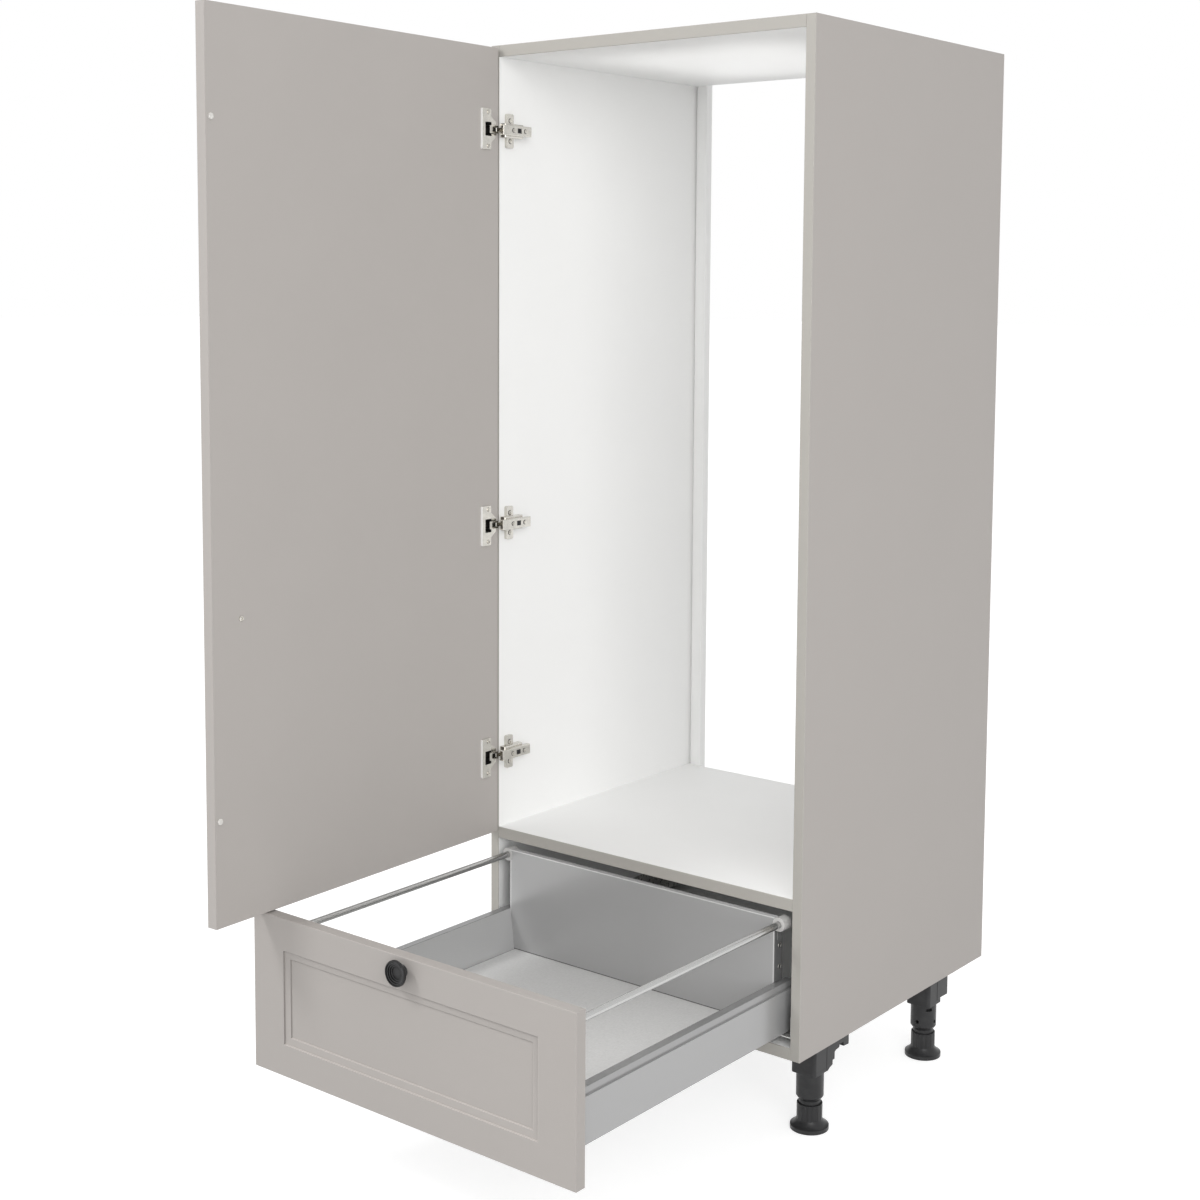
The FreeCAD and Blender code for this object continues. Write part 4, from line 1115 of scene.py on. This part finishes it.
def makeEyelets(pieceName, profile, slot):
    low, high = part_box("drawer_back")
    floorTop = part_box("bottom_panel")[1].z
    work = bmesh.new()
    for side in (-1, 1):
        for step in (-0.5, 0.5):
            base = Vector((side * (high.x + eyelet["sheet"]), low.y + eyelet["setback"],
                           floorTop + eyelet["level"] + step * eyelet["spacing"]))
            addTurned(work, profile, eyelet["sides"], base, (side, 0.0, 0.0))
    addDetail(turnedPiece(work, pieceName, eyelet["crease"]), "drawer", slot)


# dark rings round the heads of the hinges' screws, as painted shade round them

screwShadeRing = {
    "nodes": ("carcass_screws", "hinge_arm_screws"),
    "sides": 32,
    "crease": math.radians(40.0),
    "out": 0.7,                    # mm beyond the head
    "under": 0.3,
    "rise": 0.16,
}


def makeScrewShadeRings():
    work = bmesh.new()
    for nodeName in screwShadeRing["nodes"]:
        for points in islands(nodeName):
            axis, tip, _, headRadius, _ = measureFastener(points)
            inner = headRadius / mm - screwShadeRing["under"]
            outer = headRadius / mm + screwShadeRing["out"]
            rise = screwShadeRing["rise"]
            ring = [(inner, 0.0), (inner, rise), (outer, rise), (outer, 0.0), (inner, 0.0)]
            seat = tip - axis * fastenerSizes[nodeName]["head"] * mm
            addTurned(work, ring, screwShadeRing["sides"], seat, axis)
    addDetail(turnedPiece(work, "hinge_screw_shade_rings", screwShadeRing["crease"]), "carcass", "black_plastic")


knobNames = ("door_knob", "drawer_knob")
for nodeName in sorted(cadNodes):
    if nodeName not in fastenerSizes and nodeName not in knobNames:
        softenPiece(nodeName)
print("solids softened")
for nodeName in knobNames:
    makeKnob(nodeName)
makeLegWings()
makeSlotShadePads()
makeEyelets("bracket_eyelets", eyelet["rim"], "nickel")
makeEyelets("bracket_hole_shades", eyelet["shadePlug"], "black_plastic")
makeScrewShadeRings()
print("knobs, leg wings, slot pads, eyelets and rings made")
fastenerTree = makeFastenerTree()
for nodeName in sorted(fastenerSizes):
    placeFasteners(fastenerTree, nodeName)
print("fasteners set:", len(fastenerSizes), "kinds")


# floor, world, lights and camera

studio = {
    "ambient": 0.74,               # even light from all round
    "floorBounce": 0.55,           # floor's own colour, which takes the shadow
    "floorGlow": 0.7,              # what the camera sees on top of it, white in sum
    "floorHalf": 60.0,
    "floorDrop": 0.4 * mm,
}
lamps = {
    "key": {"place": (-2.2, -3.6, 4.0), "aim": (0.0, -0.3, 0.8), "size": 1.2, "watts": 80.0},
    "fill": {"place": (3.6, -3.2, 2.2), "aim": (0.0, -0.3, 0.8), "size": 3.2, "watts": 108.0},
    "bay": {"place": (0.0, 0.02, 0.364), "aim": (0.0, 0.021, 0.1), "size": 0.42, "watts": 0.03},
    "niche": {"place": (0.0, 0.0, 1.376), "aim": (0.0, 0.001, 1.6), "size": 0.36, "watts": 0.13,
              "spread": math.radians(50.0)},
}
darkRoom = {
    "towards": (0.5, -0.85, 0.15),  # the dim end of the studio, which only metal shows
    "from": 0.5,
    "to": 0.9,
    "depth": 0.5,
}


def seenDirectly(tree):
    path = addNode(tree, "ShaderNodeLightPath").outputs
    seen = calc(tree, "MAXIMUM", path["Is Camera Ray"], path["Is Glossy Ray"])
    return calc(tree, "MAXIMUM", seen, path["Is Transmission Ray"])


def makeFloor():
    half = studio["floorHalf"]
    mesh = bpy.data.meshes.new("floor")
    corners = [(-half, -half), (half, -half), (half, half), (-half, half)]
    mesh.from_pydata([(x, y, -studio["floorDrop"]) for x, y in corners], [], [(0, 1, 2, 3)])
    floor = addObject("floor", mesh)
    material = bpy.data.materials.new("paleFloor")
    material.use_nodes = True
    tree = material.node_tree
    tree.nodes.clear()
    bounce = studio["floorBounce"]
    diffuse = addNode(tree, "ShaderNodeBsdfDiffuse", {"Color": (bounce, bounce, bounce, 1.0)})
    strength = calc(tree, "MULTIPLY", seenDirectly(tree), studio["floorGlow"])
    glow = addNode(tree, "ShaderNodeEmission", {"Strength": strength})
    both = addNode(tree, "ShaderNodeAddShader", {0: diffuse.outputs[0], 1: glow.outputs[0]})
    addNode(tree, "ShaderNodeOutputMaterial", {"Surface": both.outputs[0]})
    mesh.materials.append(material)


def makeWorld():
    world = bpy.data.worlds.new("studio")
    scene.world = world
    world.use_nodes = True
    tree = world.node_tree
    background = next(n for n in tree.nodes if n.type == "BACKGROUND")
    strength = between(tree, seenDirectly(tree), studio["ambient"], 1.0)
    coords = addNode(tree, "ShaderNodeTexCoord").outputs["Generated"]
    facing = alongDirection(tree, coords, Vector(darkRoom["towards"]).normalized())
    dim = spread(tree, facing, darkRoom["from"], darkRoom["to"], 0.0, darkRoom["depth"])
    glossy = addNode(tree, "ShaderNodeLightPath").outputs["Is Glossy Ray"]
    lit = calc(tree, "SUBTRACT", 1.0, calc(tree, "MULTIPLY", glossy, dim))
    strength = calc(tree, "MULTIPLY", strength, lit)
    feedAll(tree, background, {"Color": (1.0, 1.0, 1.0, 1.0), "Strength": strength})


def makeLamp(name):
    facts = lamps[name]
    lamp = bpy.data.lights.new(name, "AREA")
    lamp.size = facts["size"]
    lamp.energy = facts["watts"]
    if "spread" in facts:
        lamp.spread = facts["spread"]
    obj = addObject(name, lamp)
    place = Vector(facts["place"])
    aim = Vector(facts["aim"]) - place
    obj.matrix_world = Matrix.Translation(place) @ aim.to_track_quat("-Z", "Y").to_matrix().to_4x4()
    obj.visible_camera = False


cameraView = {
    "place": (1.6902, -2.4821, 1.2652),
    "yaw": 38.764,
    "pitch": 5.294,
    "roll": 0.333,
    "focalPixels": 1850.78,
    "imagePixels": 1200.0,
    "axisRow": 459.83,             # row of the image that the optical axis meets
    "sensor": 36.0,
    "farthest": 200.0,
}


def makeCamera():
    view = cameraView
    lens = bpy.data.cameras.new("camera")
    lens.sensor_width = view["sensor"]
    lens.lens = view["focalPixels"] / view["imagePixels"] * view["sensor"]
    lens.shift_y = view["axisRow"] / view["imagePixels"] - 0.5
    lens.clip_end = view["farthest"]
    turn = Matrix.Rotation(math.radians(view["yaw"]), 4, "Z")
    turn = turn @ Matrix.Rotation(math.radians(90.0 - view["pitch"]), 4, "X")
    turn = turn @ Matrix.Rotation(math.radians(view["roll"]), 4, "Z")
    scene.camera = addObject("camera", lens)
    scene.camera.matrix_world = Matrix.Translation(view["place"]) @ turn


makeFloor()
makeWorld()
for lampName in lamps:
    makeLamp(lampName)
makeCamera()
scene.view_settings.view_transform = "Standard"
print("stage set")
